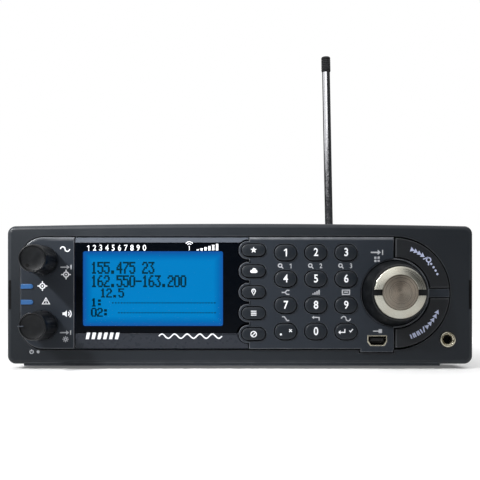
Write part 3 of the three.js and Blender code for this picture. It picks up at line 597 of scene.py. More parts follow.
def key_cap(node, gap=0):
    """A bar-shaped key's visible cap as (x, z, width, height), or the opening around it."""
    low, high = span(node)
    margin = 2 * gap - 2 * KEY_RIM
    return (low.x + high.x) / 2, (low.z + high.z) / 2, high.x - low.x + margin, high.z - low.z + margin


def function_bumps():
    """The centre of the panel's bump at the left end of each function key, from the bottom up."""
    caps = [key_cap(node) for node in reversed(FUNCTION_KEYS)]
    return [(x - width / 2 + height / 2, z) for x, z, width, height in caps]


def window_shape(low, high, bump_gap=0.3):
    """The display window between two heights, with a scallop around each function key."""

    def outline(grow):
        left, right = WINDOW_LOW.x - grow, WINDOW_HIGH.x + grow
        points = [(left, low - grow), (right, low - grow)]
        for x, z in function_bumps():
            radius = BUMP_RADIUS + bump_gap - grow
            swing = math.degrees(math.acos((right - x) / radius))
            if low < z < high:
                points += arc(x, z, radius, -swing, swing - 360, 24)
        return points + [(right, high + grow), (left, high + grow)]

    return outline


# ------------------------------------------------------------------ front panel


def make_bezel():
    """The bezel's shell: a face with the control area's opening, and walls around the case's front."""
    b = Builder()
    wall = 2.2
    back = BEZEL_HIGH.y
    outer_steps = [(0, back), (0, back - WALL_BORDER), *edge_steps(FACE, BEZEL_ROUND, 8)]
    outer_back, outer_front = b.layers(bezel, outer_steps)
    inner_back, inner_front = b.layers(bezel, [(-wall, back), (-wall, FACE + wall)])
    b.bridge(outer_back, inner_back)
    phones_hole = disc(PHONES.x, PHONES.z, 2.75, 32)
    hole_rings = []
    for hole in (bezel_opening(0.4), phones_hole):
        steps = [(0, FACE + wall)] + [(-grow, y) for grow, y in edge_steps(FACE, 0.35)]
        hole_rings.append(b.layers(hole, steps))
    b.fill(outer_front, [last for first, last in hole_rings])
    b.fill(inner_front, [first for first, last in hole_rings])
    b.piece("bezel_shell", "bezel", "radio", replaces=["front_bezel"])


def bezel_opening(gap):
    """The control area's outline with the notch for the USB tab in its lower edge."""

    def outline(grow):
        points = area(gap + grow)
        left, right = USB_TAB["left"] - gap - grow, USB_TAB["right"] + gap + grow
        low = USB_TAB["bottom"] - gap - grow
        edge = points[0][1]
        return points[1:] + [(left, edge), (left, low), (right, low), (right, edge)]

    return outline


def make_lip():
    """The thin lip below the bezel."""
    left, right, top = -85.4, 79.0, 2.4
    b = Builder()
    shape = rounded_box(left, right, BEZEL_LOW.z, top, 0.5)
    b.cap(shape, [(0, FACE + 12), *edge_steps(FACE + 0.3, 0.3, borders=(0.05,))])
    b.piece("bezel_lip", "bezel", "radio")


def make_release_slots():
    """The slots in the panel's ends, for the tool that releases the radio from a dashboard: near-black pieces
    lying on the surface, painted shade where the slots' depth would be.
    """
    low, high = 23.4, 34.8
    inner, outer = 1.75, 0.6  # how far inside the panel's end the slot starts and stops
    steps = 6
    for name, side in (("release_slot_left", -1), ("release_slot_right", 1)):
        section = [(outer, FACE + 3), (inner, FACE + 3)]
        for k in range(steps + 1):
            inset = inner + (outer - inner) * k / steps
            section.append((inset, bezel_front(inset) - 0.03))
        b = Builder()
        edge = [(side * (BEZEL_HIGH.x - inset), y) for inset, y in section]
        b.loft([b.ring([(x, y, z) for x, y in edge]) for z in (low, high)])
        # near-black and flush with the surface: painted shade for the slot
        b.piece(name, "groove", "radio")


def bezel_front(inset):
    """Where the bezel's front surface lies, that far inside its outline."""
    out = max(1 - inset / BEZEL_ROUND, 0)
    return FACE + BEZEL_ROUND * (1 - math.sqrt(1 - out * out))


def key_holes():
    """An opening for each bar-shaped key."""
    return [bar(*key_cap(node, KEY_GAP)) for node in [*NUMBER_KEYS, *FUNCTION_KEYS]]


def rolled(grow):
    """A top edge's growth: inwards it goes further than the other edges."""
    return grow * TOP_ROLL if grow < 0 else grow


def panel_shape(left):
    """The keypad's raised surface: scalloped on the left, and cut at the dial's middle on the right."""
    right = DIAL.x - 0.25

    def outline(grow):
        low, high = MID_Z - AREA_HALF - grow, MID_Z + AREA_HALF + rolled(grow)
        tab_left, tab_right = USB_TAB["left"] - grow, USB_TAB["right"] - 0.2 + grow
        tab_low = USB_TAB["bottom"] - grow
        points = [(left - grow, low), (tab_left, low), (tab_left, tab_low), (tab_right, tab_low)]
        points += [(right + grow, low), (right + grow, MID_Z - WELL_RADIUS)]
        points += arc(DIAL.x, MID_Z, WELL_RADIUS - grow, -92, -268, 40)
        points += [(right + grow, high), (left - grow, high)]
        for x, z in reversed(function_bumps()):
            radius = BUMP_RADIUS + grow
            swing = math.degrees(math.acos((left - grow - x) / radius))
            points += arc(x, z, radius, swing, 360 - swing, 24)
        return points

    return outline


def make_keypad_plate():
    """The keypad's raised surface, with holes for the keys and the USB port."""
    b = Builder()
    b.plate(panel_shape(WINDOW_HIGH.x + 0.35), [*key_holes(), usb_shape], PAD, PLATE_BACK)
    b.piece("keypad_plate", "panel", "radio", replaces=["control_panel"])


def left_shape(grow):
    """The raised surface around the two small knobs."""
    corner_x = AREA_LEFT + AREA_CORNER
    corner_z = AREA_HALF - AREA_CORNER
    corner = AREA_CORNER + grow
    right = WINDOW_SPLIT + grow
    points = [(right, MID_Z - AREA_HALF - grow), (right, MID_Z + AREA_HALF + rolled(grow))]
    flatten = (AREA_CORNER + rolled(grow)) / corner
    points += [(x, MID_Z + corner_z + rise * flatten) for x, rise in arc(corner_x, 0, corner, 90, 180, 18)]
    return points + arc(corner_x, MID_Z - corner_z, corner, 180, 270, 18)


def make_knob_plate():
    """The raised surface on the left, with a hole for each knob's shaft."""
    shaft_hole = 3.5
    b = Builder()
    holes = [disc(knob.x, knob.z, shaft_hole, 32) for knob in (SQUELCH, VOLUME)]
    b.plate(left_shape, holes, PAD, PLATE_BACK, edge=0.35)
    b.piece("knob_plate", "panel", "radio")


def make_groove_bed():
    """A near-black bed behind the gaps of the control area: painted shade in the gaps."""
    b = Builder()
    b.cap(area, [(0, PLATE_BACK + 0.2), (0, PLATE_BACK), (-0.05, PLATE_BACK)])
    b.piece("control_gap_shade", "groove", "radio")


def make_dial_well():
    """The dial's well, its wall, and the fixed bridge between the two curved keys."""
    floor = FACE + 0.9
    wall = 13.7
    profile = [(0, floor), (WELL_RADIUS, floor), (WELL_RADIUS, PAD + 0.3), (13.1, PAD + 0.08), (13.3, PAD)]
    profile += [(wall - 0.2, PAD), (wall, PAD + 0.2), (wall, PLATE_BACK), (0, PLATE_BACK)]
    b = Builder()
    b.lathe(profile, DIAL, segments=96)
    b.piece("dial_well", "panel", "radio")

    half = 1.7
    shape = rounded_box(DIAL.x + 13.4, DIAL.x + AREA_HALF - 0.3, MID_Z - half, MID_Z + half, 0.3)
    b = Builder()
    b.cap(shape, [(0, PLATE_BACK), *edge_steps(PAD, 0.25)])
    b.piece("key_bridge", "panel", "radio")


# ------------------------------------------------------------------ keys


def cap_steps(back, front, edge, crown):
    """Steps over a key's cap: walls, a rounded edge and a gentle crown."""
    steps = [(0, back)]
    count = 5
    for k in range(count + 1):
        angle = math.radians(78 * k / count)
        steps.append((-edge * (1 - math.cos(angle)), front + crown + edge * (1 - math.sin(angle))))
    for inset, share in ((0.5, 0.55), (1.1, 0.15), (1.5, 0)):
        steps.append((-edge - inset, front + crown * share))
    return steps


def make_bar_keys():
    for node in [*NUMBER_KEYS, *FUNCTION_KEYS]:
        low, high = span(node)
        b = Builder()
        b.cap(bar(*key_cap(node)), cap_steps(high.y, low.y, edge=0.35, crown=0.2))
        b.piece(node + "_cap", "key", node, replaces=[node])


def make_arc_keys():
    for node, side in (("key_scan", 1), ("key_hold", -1)):
        low, high = span(node)
        b = Builder()
        b.cap(arc_key(side), [(0, high.y), *edge_steps(low.y, 0.4, 5)])
        b.piece(node + "_cap", "arc_key", node, replaces=[node])


# ------------------------------------------------------------------ knobs


def make_small_knobs():
    """Two knobs with shallow flutes, a thin raised rim and a dished face."""
    flutes, flute_depth = 12, 0.22
    steps_per_flute = 6
    rim = [(5.4, 1.3), (5.3, 0.8), (5.18, 0.3), (5.0, 0.06), (4.85, 0), (4.72, 0.04), (4.6, 0.25)]
    dish = [(4.45, 0.5), (4.2, 0.58), (3.2, 0.72), (1.8, 0.86), (0, 0.9)]
    for name, centre in (("squelch", SQUELCH), ("volume", VOLUME)):
        low, high = span(name + "_knob")
        front, back = low.y, high.y
        profile = [(0, front + 4.6), (3.3, front + 4.6), (3.3, back), (5.7, back), (5.9, back - 0.2)]
        profile += [(5.9, back - 1.5), (5.65, back - 2.1), (5.5, front + 3)]
        profile += [(radius, front + depth) for radius, depth in rim + dish]

        def groove(radius, y, k, front=front, back=back):
            fluted = front + 0.9 < y < back - 2 and radius > 4.5
            return flute_depth * abs(math.cos(math.pi * k / steps_per_flute)) ** 6 if fluted else 0

        b = Builder()
        b.lathe(profile, centre, segments=flutes * steps_per_flute, groove=groove)
        b.piece(name + "_knob_grip", "knob", name + "_turn", replaces=[name + "_knob"])


def make_pointers():
    """The squelch knob has a dimple at 7 o'clock, shown as a near-black disc of painted shade, and the volume
    knob a raised tick at 9 o'clock, light grey as a painted glint.
    """
    front = span("squelch_knob")[0].y
    profile = [(0, front + 1.2), (0.62, front + 1.2), (0.62, front + 0.6), (0, front + 0.56)]
    b = Builder()
    b.lathe(profile, around(SQUELCH, "Y", 3.3, 0, math.radians(232)), segments=24)
    # near-black disc on the dish: painted shade for the dimple
    b.piece("squelch_pointer", "groove", "squelch_turn")

    front = span("volume_knob")[0].y
    half = 0.22
    shape = rounded_box(VOLUME.x - 5.5, VOLUME.x - 3.2, VOLUME.z - half, VOLUME.z + half, 0.2)
    b = Builder()
    b.cap(shape, [(0, front + 1.2), *edge_steps(front - 0.12, 0.12, borders=())])
    # light grey: a painted glint on the tick
    b.piece("volume_pointer", "window_slope_sheen", "volume_turn")


def make_dial():
    """The dial's rubber grip."""
    low, high = span("dial_knob")
    front, back = low.y, high.y
    b = Builder()
    profile = [(0, front + 1.6), (3.3, front + 1.6), (3.3, back), (12.3, back), (12.6, back - 0.3)]
    profile += [(12.6, back - 2.0), (12.35, back - 2.5), (10.9, front + 0.9), (10.65, front + 0.3)]
    profile += [(10.3, front), (0, front)]
    b.lathe(profile, DIAL, segments=96)
    b.piece("dial_grip", "knob", "dial_turn", replaces=["dial_knob"])


def make_dial_cap():
    """The turned metal face: a flat disc, and two sloping ring pieces with a notch between their ends."""
    low, high = span("dial_cap")
    front, back = low.y, high.y
    face = 6.8
    b = Builder()
    disc_profile = [(0, back), (face, back), (face, front + 0.4), (face - 0.15, front + 0.25)]
    b.lathe([*disc_profile, (0, front + 0.22)], DIAL)
    b.piece("dial_disc", "dial_disc", "dial_turn", sharp=24)

    b = Builder()
    notch_half = 1.15
    profile = [(face, back), (face, front + 0.12), (face + 0.12, front), (9.55, front + 0.62)]
    profile += [(9.85, front + 0.8), (9.95, front + 1.0), (9.95, back)]
    steps = 48
    for start in (0, math.pi):
        sections = []
        for k in range(steps + 1):
            section = []
            for radius, y in profile:
                margin = math.asin(notch_half / radius)
                angle = start + margin + (math.pi - 2 * margin) * k / steps
                section.append(around(DIAL, "Y", radius, y, angle))
            sections.append(b.ring(section))
        b.loft(sections)
    b.piece("dial_ring", "turned", "dial_turn", replaces=["dial_cap"], sharp=24)


# ------------------------------------------------------------------ display


def display_shape(grow):
    """The lit field, or the same shape grown on all sides."""
    half_width, half_height = DISPLAY["width"] / 2 + grow, DISPLAY["height"] / 2 + grow
    x, z = DISPLAY["x"], DISPLAY["z"]
    return rounded_box(x - half_width, x + half_width, z - half_height, z + half_height, 0.8)


def make_window():
    """The window's printed border with a clear pane, the lower band and the sloping top edge, whose light
    grey is a painted sheen.
    """
    low, high = WINDOW_LOW.z, WINDOW_HIGH.z
    front, back = WINDOW_LOW.y, WINDOW_HIGH.y
    slope_bottom = high - 2.0
    band_top = 13.9
    b = Builder()
    border = window_shape(band_top, slope_bottom)
    b.plate(border, [display_shape(0)], front, back, edge=0.12, hole_edge=0.05)
    b.piece("window_border", "window_print", "radio", replaces=["display_window"])

    b = Builder()
    b.plate(display_shape(-LENS_GAP), [], front + LENS_GAP, front + LENS_THICKNESS, edge=0.02)
    b.piece("window_lens", "lens", "radio")

    b = Builder()
    b.plate(window_shape(low, band_top), [], front, back)
    b.piece("window_band", "window_band", "radio")

    # the sloping top edge: its light grey is a painted sheen
    b = Builder()
    section = [(front, slope_bottom), (front + 0.9, high), (back, high), (back, slope_bottom)]
    b.loft([b.ring([(x, y, z) for y, z in section]) for x in (WINDOW_LOW.x, WINDOW_HIGH.x)])
    b.piece("window_slope_sheen", "window_slope_sheen", "radio")


def make_screen():
    b = Builder()
    front = WINDOW_HIGH.y + 0.05
    module_front = span("display_module")[0].y
    b.cap(display_shape(0.8), [(0, module_front + 0.2), *edge_steps(front, 0.1)])
    b.piece("lit_screen", "screen", "radio", replaces=["display_module"])
    make_screen_marks(front - 0.02)


SPILL = 0.17  # how far a lit dot spreads sideways
DOT_COLUMNS = 6  # a character's width and the gap after it

# Rows of dots from the top down; a digit is five dots wide and seven high.
DOTS = {
    "0": "01110 10001 10001 10001 10001 10001 01110",
    "1": "00100 01100 00100 00100 00100 00100 01110",
    "2": "01110 10001 00001 00110 01000 10000 11111",
    "3": "11111 00010 00100 00010 00001 10001 01110",
    "4": "00010 00110 01010 10010 11111 00010 00010",
    "5": "11111 10000 11110 00001 00001 10001 01110",
    "6": "00110 01000 10000 11110 10001 10001 01110",
    "7": "11111 00001 00010 00100 01000 01000 01000",
    "8": "01110 10001 10001 01110 10001 10001 01110",
    "9": "01110 10001 10001 01111 00001 00010 01100",
    "-": "00000 00000 00000 11111 00000 00000 00000",
    ".": "00000 00000 00000 00000 00000 01100 01100",
    ":": "00000 01100 01100 00000 01100 01100 00000",
    " ": "00000 00000 00000 00000 00000 00000 00000",
}


def dot_text(b, text, x, top, pitch_x, pitch_z, y):
    """Characters made of rows of dots, starting at x and hanging from the top."""
    for place, character in enumerate(text):
        for row, dots in enumerate(DOTS[character].split()):
            high = top - row * pitch_z
            for start, end in dot_runs(dots):
                left = x + (place * DOT_COLUMNS + start) * pitch_x
                right = x + (place * DOT_COLUMNS + end) * pitch_x
                add_dot(b, left - SPILL, right + SPILL, high - pitch_z, high, y)


def dot_runs(dots):
    """The start and end of each unbroken run of lit dots in a row."""
    runs = []
    for column, dot in enumerate(dots):
        if dot == "1" and runs and runs[-1][1] == column:
            runs[-1][1] = column + 1
        elif dot == "1":
            runs.append([column, column + 1])
    return runs


def add_dot(b, left, right, low, high, y):
    b.prism([(left, low), (right, low), (right, high), (left, high)], y, y + 0.015)


def make_screen_marks(y):
    """What the screen shows: two frequency rows, a small one, and two channel rows of dashes."""
    left = DISPLAY["x"] - DISPLAY["width"] / 2 + 3.2
    top = DISPLAY["z"] + DISPLAY["height"] / 2 - 4.1
    texts = [
        ("155.475 23", 0, 0, 0.42, 0.68),
        ("162.550-163.200", 0, 5.3, 0.42, 0.68),
        ("12.5", 3.6, 10.5, 0.4, 0.52),
        ("1:", 0, 14.4, 0.4, 0.47),
        ("02:", 0, 18.2, 0.4, 0.5),
    ]
    b = Builder()
    for text, across, drop, pitch_x, pitch_z in texts:
        dot_text(b, text, left + across, top - drop, pitch_x, pitch_z, y)
    dash, pitch, thickness = 0.6, 1.15, 0.45
    for start, drop in ((8.2, 16.0), (10.6, 19.9)):
        x = left + start
        while x < left + 49:
            add_dot(b, x, x + dash, top - drop - thickness, top - drop, y)
            x += pitch
    b.piece("screen_marks", "marks", "radio")


# ------------------------------------------------------------------ printed marks

MARK_RISE = 0.01  # how far print stands in front of its surface

class Icon:
    """Flat marks drawn from strokes around a centre, in millimetres."""

    def __init__(self, b, x, z, y, size=1.0, turn=0.0, width=0.36):
        self.b, self.x, self.z, self.y = b, x, z, y
        self.size, self.turn, self.width = size, math.radians(turn), width

    def at(self, point):
        across, up = point[0] * self.size, point[1] * self.size
        cos, sin = math.cos(self.turn), math.sin(self.turn)
        return (self.x + across * cos - up * sin, self.z + across * sin + up * cos)

    def next_level(self):
        """Each stroke lies a little in front of the one before, so that crossing strokes never coincide."""
        self.y -= 0.004
        return self.y - 0.02, self.y + 0.04

    def polygon(self, *points):
        front, back = self.next_level()
        self.b.prism([self.at(point) for point in points], front, back)

    def line(self, *points):
        """A stroke through the points; it closes when it ends where it began."""
        closed = len(points) > 2 and math.dist(points[0], points[-1]) < 1e-6
        path = [self.at(point) for point in (points[:-1] if closed else points)]
        front, back = self.next_level()
        sections = []
        for (lx, lz), (rx, rz) in stroke_edges(path, self.width / 2, closed):
            sections.append(self.b.ring([(lx, front, lz), (rx, front, rz), (rx, back, rz), (lx, back, lz)]))
        self.b.chain(sections, closed)
        if not closed:
            self.b.face(*sections[0])
            self.b.face(*sections[-1])

    def curve(self, x, z, radius, start, end, steps=14):
        self.line(*arc(x, z, radius, start, end, steps))

    def dot(self, x, z, radius):
        self.polygon(*arc(x, z, radius, 0, 340, 17))

    def box(self, x, z, width, height):
        """A filled box from its lower left corner."""
        self.polygon((x, z), (x + width, z), (x + width, z + height), (x, z + height))


def stroke_edges(path, half, closed):
    """The left and right edge of a stroke at each point of its path, mitred at the corners."""
    count = len(path)
    edges = []
    for i, point in enumerate(path):
        steps = []
        if i > 0 or closed:
            steps.append((path[i - 1], point))
        if i < count - 1 or closed:
            steps.append((point, path[(i + 1) % count]))
        normals = []
        for (x0, z0), (x1, z1) in steps:
            length = math.hypot(x1 - x0, z1 - z0)
            normals.append(((z0 - z1) / length, (x1 - x0) / length))
        nx = sum(normal[0] for normal in normals) / len(normals)
        nz = sum(normal[1] for normal in normals) / len(normals)
        reach = half / max(nx * nx + nz * nz, 0.4)
        x, z = point
        edges.append(((x + nx * reach, z + nz * reach), (x - nx * reach, z - nz * reach)))
    return edges


def spokes(icon, count, inner, outer):
    for k in range(count):
        x, z = math.cos(math.tau * k / count), math.sin(math.tau * k / count)
        icon.line((inner * x, inner * z), (outer * x, outer * z))


def crosshair(icon):
    icon.curve(0, 0, 1.0, 0, 360)
    icon.dot(0, 0, 0.35)
    spokes(icon, 4, 1.0, 1.9)


def wave(icon):
    icon.curve(-0.9, 0, 0.9, 180, 0)
    icon.curve(0.9, 0, 0.9, 180, 360)


def speaker_mark(icon):
    icon.polygon((-1.6, -0.5), (-0.9, -0.5), (0.1, -1.3), (0.1, 1.3), (-0.9, 0.5), (-1.6, 0.5))
    icon.curve(0.1, 0, 0.9, -50, 50, 8)
    icon.curve(0.1, 0, 1.7, -50, 50, 10)


def lamp_mark(icon):
    icon.curve(0, 0, 0.65, 0, 360)
    spokes(icon, 8, 1.05, 1.6)


def warning_mark(icon):
    icon.line((-1.5, -1.1), (1.5, -1.1), (0, 1.4), (-1.5, -1.1))
    icon.line((0, -0.1), (0, 0.5))
    icon.dot(0, -0.65, 0.22)


def press_mark(icon):
    """An arrow against a bar: push in."""
    icon.polygon((-2.6, -0.28), (0.3, -0.28), (0.3, -1.05), (1.6, 0), (0.3, 1.05), (0.3, 0.28), (-2.6, 0.28))
    icon.line((2.3, 1.05), (2.3, -1.05))


def grid_mark(icon):
    for x in (-1.25, 0.25):
        for z in (-1.25, 0.25):
            icon.box(x, z, 1.0, 1.0)


def magnifier(icon):
    icon.curve(-0.3, 0.3, 0.85, 0, 360)
    icon.line((0.35, -0.35), (1.2, -1.2))


def level_bars(icon):
    for k in range(4):
        icon.box(-1.35 + k * 0.8, -0.9, 0.5, 0.5 + k * 0.45)


def screen_mark(icon):
    icon.line((-1.4, -0.8), (1.4, -0.8), (1.4, 0.9), (-1.4, 0.9), (-1.4, -0.8))
    icon.line((-0.8, 0.1), (0.8, 0.1))


def split_mark(icon):
    icon.line((-1.5, 0), (-0.2, 0), (0.5, 0.8), (1.5, 0.8))
    icon.line((-0.2, 0), (0.5, -0.8), (1.5, -0.8))


def slope_mark(icon):
    icon.line((-1.5, 0.8), (-0.5, 0.8), (0.6, -0.8), (1.5, -0.8))


def back_mark(icon):
    icon.line((1.4, -0.8), (1.4, 0.5), (-0.8, 0.5))
    icon.polygon((-0.7, 1.2), (-0.7, -0.2), (-1.6, 0.5))


def star_mark(icon):
    points = []
    for k in range(10):
        radius = 1.4 if k % 2 == 0 else 0.58
        angle = math.radians(90 + 36 * k)
        points.append((radius * math.cos(angle), radius * math.sin(angle)))
    icon.polygon(*points)


def cloud_mark(icon):
    icon.dot(-0.75, -0.15, 0.6)
    icon.dot(0.15, 0.3, 0.85)
    icon.dot(0.95, -0.15, 0.55)
    icon.box(-0.9, -0.75, 1.95, 0.75)


def pin_mark(icon):
    icon.curve(0, 0.45, 0.75, -30, 210)
    icon.line((0.65, 0.1), (0, -1.3), (-0.65, 0.1))
    icon.dot(0, 0.45, 0.25)


def menu_mark(icon):
    for z in (-0.9, 0, 0.9):
        icon.line((-1.3, z), (1.3, z))


def blocked_mark(icon):
    icon.curve(0, 0, 1.15, 0, 360)
    icon.line((-0.75, -0.75), (0.75, 0.75))


def plug_mark(icon):
    icon.line((-1.6, 0), (0.4, 0))
    icon.box(0.4, -0.7, 1.2, 1.4)


def play_mark(icon):
    icon.polygon((-0.7, -0.95), (0.95, 0), (-0.7, 0.95))


def pause_mark(icon):
    icon.box(-0.8, -0.9, 0.55, 1.8)
    icon.box(0.25, -0.9, 0.55, 1.8)


def small_dot(icon):
    icon.dot(0, 0, 0.45)


def point_mark(icon):
    icon.dot(0, 0, 0.42)


def slash_mark(icon):
    icon.line((-0.5, -1.0), (0.5, 1.0))


def enter_mark(icon):
    icon.line((1.2, 1.1), (1.2, -0.3), (-0.7, -0.3))
    icon.polygon((-0.6, 0.5), (-0.6, -1.1), (-1.6, -0.3))


def check_mark(icon):
    icon.line((-0.9, 0), (-0.3, -0.7), (0.9, 0.8))


def cross_mark(icon):
    icon.line((-0.7, -0.7), (0.7, 0.7))
    icon.line((-0.7, 0.7), (0.7, -0.7))


def make_panel_marks():
    """The printed marks on the fixed surfaces."""
    y = PAD - MARK_RISE
    bright = [
        (wave, -68.7, 47.0, 1.0),
        (crosshair, -68.3, 37.0, 1.0),
        (crosshair, -77.6, 32.5, 1.0),
        (warning_mark, -76.2, 26.5, 0.95),
        (speaker_mark, -68.1, 21.6, 1.0),
    ]
    dim = [
        (press_mark, -68.3, 39.9, 0.85),
        (press_mark, -68.5, 14.2, 0.85),
        (lamp_mark, -68.5, 11.6, 0.72),
        (press_mark, 53.8, 45.7, 0.95),
        (grid_mark, 53.8, 43.0, 0.85),
        (plug_mark, 54.0, 14.8, 1.1),
    ]
    rows = [middle(node).z for node in ("key_1", "key_4", "key_7", "key_dot")]
    first_gap, second_gap, third_gap = [(upper + lower) / 2 - 0.1 for upper, lower in zip(rows, rows[1:])]
    below = {1: (split_mark, slope_mark), 2: (level_bars, back_mark), 3: (screen_mark, wave)}
    for number, (second, third) in below.items():
        x = middle(f"key_{number}").x
        dim.append((magnifier, x - 1.9, first_gap, 0.8))
        dim.append((second, x, second_gap, 1.0))
        dim.append((third, x, third_gap, 0.95))
        add_number(f"search_{number}_mark", str(number), (x + 2.0, y, first_gap), 2.6, "radio", "dim_print")
    for name, material, marks in (("bright_marks", "print", bright), ("dim_marks", "dim_print", dim)):
        b = Builder()
        for draw, x, z, size in marks:
            draw(Icon(b, x, z, y, size, width=0.42))
        b.piece("panel_" + name, material, "radio")


def slanted_bars(icon):
    """A plain ornament: six slanted bars."""
    for k in range(6):
        x = -6.5 + k * 2.3
        icon.polygon((x, -1.3), (x + 1.3, -1.3), (x + 1.9, 1.3), (x + 0.6, 1.3))


def long_wave(icon):
    half, height, turns, steps = 12.4, 0.85, 5, 64
    shares = [k / steps for k in range(steps + 1)]
    icon.line(*[(half * (2 * share - 1), height * math.sin(math.tau * turns * share)) for share in shares])


def mast_and_bars(icon):
    """A mast with waves, and signal bars that grow."""
    icon.line((-5.6, -1.3), (-5.6, 0.6))
    icon.curve(-5.6, 0.6, 0.9, 35, 145, 8)
    icon.curve(-5.6, 0.6, 1.7, 35, 145, 8)
    for k in range(6):
        icon.box(-2.6 + k * 1.6, -1.3, 1.0, 0.5 + k * 0.45)


def make_window_marks():
    """Plain marks in the window's four corners, printed on its border."""
    y = WINDOW_LOW.y - MARK_RISE
    b = Builder()
    mast_and_bars(Icon(b, -14.6, 47.7, y, 0.95))
    slanted_bars(Icon(b, -54.2, 12.9, y))
    long_wave(Icon(b, -19.5, 12.8, y, width=0.5))
    b.piece("window_marks", "print", "radio")
    first, pitch = -59.6, 2.45
    for k in range(10):
        place = (first + k * pitch, y, 47.4)
        add_number(f"bank_{k + 1}_mark", str((k + 1) % 10), place, 3.2, "radio")


def make_off_mark():
    b = Builder()
    icon = Icon(b, -81.2, 6.6, FACE - MARK_RISE, 0.8)
    icon.curve(-1.2, 0, 0.85, 120, 420)
    icon.line((-1.2, 0.2), (-1.2, 1.2))
    icon.dot(2.0, 0, 0.75)
    b.piece("off_mark", "dim_print", "radio")


def make_key_marks():
    """An icon or a number on each bar-shaped key."""
    drawn = {
        "key_priority": [(star_mark, 0, 0, 0.95)],
        "key_weather": [(cloud_mark, 0, 0, 1.0)],
        "key_location": [(pin_mark, 0, 0, 0.95)],
        "key_menu": [(menu_mark, 0, 0, 0.85)],
        "key_lockout": [(blocked_mark, 0, 0, 0.95)],
        "key_dot": [(point_mark, -1.9, -1.1, 1.0), (cross_mark, 1.9, 0.4, 0.75)],
        "key_enter": [(enter_mark, -1.7, 0, 0.95), (check_mark, 1.9, 0.4, 0.75)],
    }
    for node in [*FUNCTION_KEYS, *NUMBER_KEYS]:
        x, z = key_cap(node)[:2]
        y = span(node)[0].y - MARK_RISE
        if node not in drawn:
            add_number(node + "_mark", node[-1], (x, y, z), 4.35, node)
            continue
        b = Builder()
        for draw, across, up, size in drawn[node]:
            draw(Icon(b, x + across, z + up, y, size))
        b.piece(node + "_mark", "print", node)


def make_arc_key_marks():
    """Marks along the two curved keys, turned to follow the curve."""
    rows = {
        "key_scan": (1, [play_mark] * 4 + [slash_mark, magnifier] + [small_dot] * 4),
        "key_hold": (-1, [pause_mark] * 3 + [slash_mark] + [play_mark] * 5),
    }
    radius = 18.2
    first, last = 68, 24  # degrees above or below the divider
    for node, (side, draws) in rows.items():
        y = span(node)[0].y - MARK_RISE
        b = Builder()
        for k, draw in enumerate(draws):
            degrees = side * (first + (last - first) * k / (len(draws) - 1))
            x, _, z = around(DIAL, "Y", radius, 0, math.radians(degrees))
            draw(Icon(b, x, z, y, 1.0, degrees - side * 90, width=0.45))
        b.piece(node + "_mark", "blue_print", node)


def figure_one(icon):
    stem = [(0.0, -0.34), (0.11, -0.34), (0.11, 0.35), (0.02, 0.35)]
    flag = [(-0.16, 0.22), (-0.16, 0.12), (0.0, 0.21)]
    icon.polygon(*stem, *flag)


def add_number(name, text, place, size, body, material="print"):
    """A bold number that lies on a surface and faces the user."""
    x, y, z = place
    if text == "1":
        b = Builder()
        figure_one(Icon(b, x, z, y, size))
        b.piece(name, material, body)
        return
    curve = bpy.data.curves.new(name, "FONT")
    curve.body = text
    curve.size = size
    curve.offset = 0.016 * size
    curve.extrude = 0.02
    curve.align_x = "CENTER"
    curve.align_y = "CENTER"
    text_object = bpy.data.objects.new(name + "_text", curve)
    bpy.context.scene.collection.objects.link(text_object)
    depsgraph = bpy.context.evaluated_depsgraph_get()
    mesh = bpy.data.meshes.new_from_object(text_object.evaluated_get(depsgraph))
    bpy.data.objects.remove(text_object)
    narrow = Matrix.Diagonal((0.86, 1, 1, 1))
    upright = Matrix.Rotation(math.radians(90), 4, "X")
    mesh.transform(Matrix.Scale(MM, 4) @ Matrix.Translation(place) @ upright @ narrow)
    mesh.materials.clear()
    mesh.materials.append(MATERIAL[material])
    made = bpy.data.objects.new(name, mesh)
    bpy.context.scene.collection.objects.link(made)
    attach(made, body)


# ------------------------------------------------------------------ front sockets and lights


def light_pipe(node):
    """A bar with a flat left end and a round right end."""
    low, high = span(node)
    half = (high.z - low.z) / 2
    z = (low.z + high.z) / 2

    def outline(grow):
        points = [(low.x - grow, z + half + grow), (low.x - grow, z - half - grow)]
        return points + arc(high.x - half, z, half + grow, -90, 90, 16)

    return outline


def make_light_pipes():
    for node in ("upper_light_pipe", "lower_light_pipe"):
        low, high = span(node)
        b = Builder()
        b.cap(light_pipe(node), [(0, high.y), *edge_steps(low.y - 0.15, 0.3)])
        b.piece(node + "_lens", "light_pipe", "radio", replaces=[node])


def make_usb():
    """The metal shell of the USB port, and the tongue inside it."""
    low, high = span("usb_port")
    front = low.y
    rim, depth = 0.35, 6
    b = Builder()
    outer_back, outer_front = b.layers(usb_shape, [(0, high.y), (0, front + 0.1), (-0.1, front)])
    inner_front, inner_back = b.layers(usb_shape, [(-rim, front), (-rim, front + depth)])
    b.bridge(outer_front, inner_front)
    b.fill(inner_back)
    b.fill(outer_back)
    b.piece("usb_shell", "nickel", "radio", replaces=["usb_port"])

    b = Builder()
    tongue = rounded_box(USB.x - 2.5, USB.x + 2.5, USB.z - 0.1, USB.z + 0.9, 0.1)
    b.cap(tongue, [(0, front + depth), *edge_steps(front + 0.9, 0.1)])
    back_wall = rounded_box(USB.x - 3.3, USB.x + 3.3, USB.z - 1.0, USB.z + 1.6, 0.3)
    b.cap(back_wall, [(0, front + depth), (0, front + 3.4), (-0.05, front + 3.4)])
    b.piece("usb_tongue", "black_plastic", "radio")


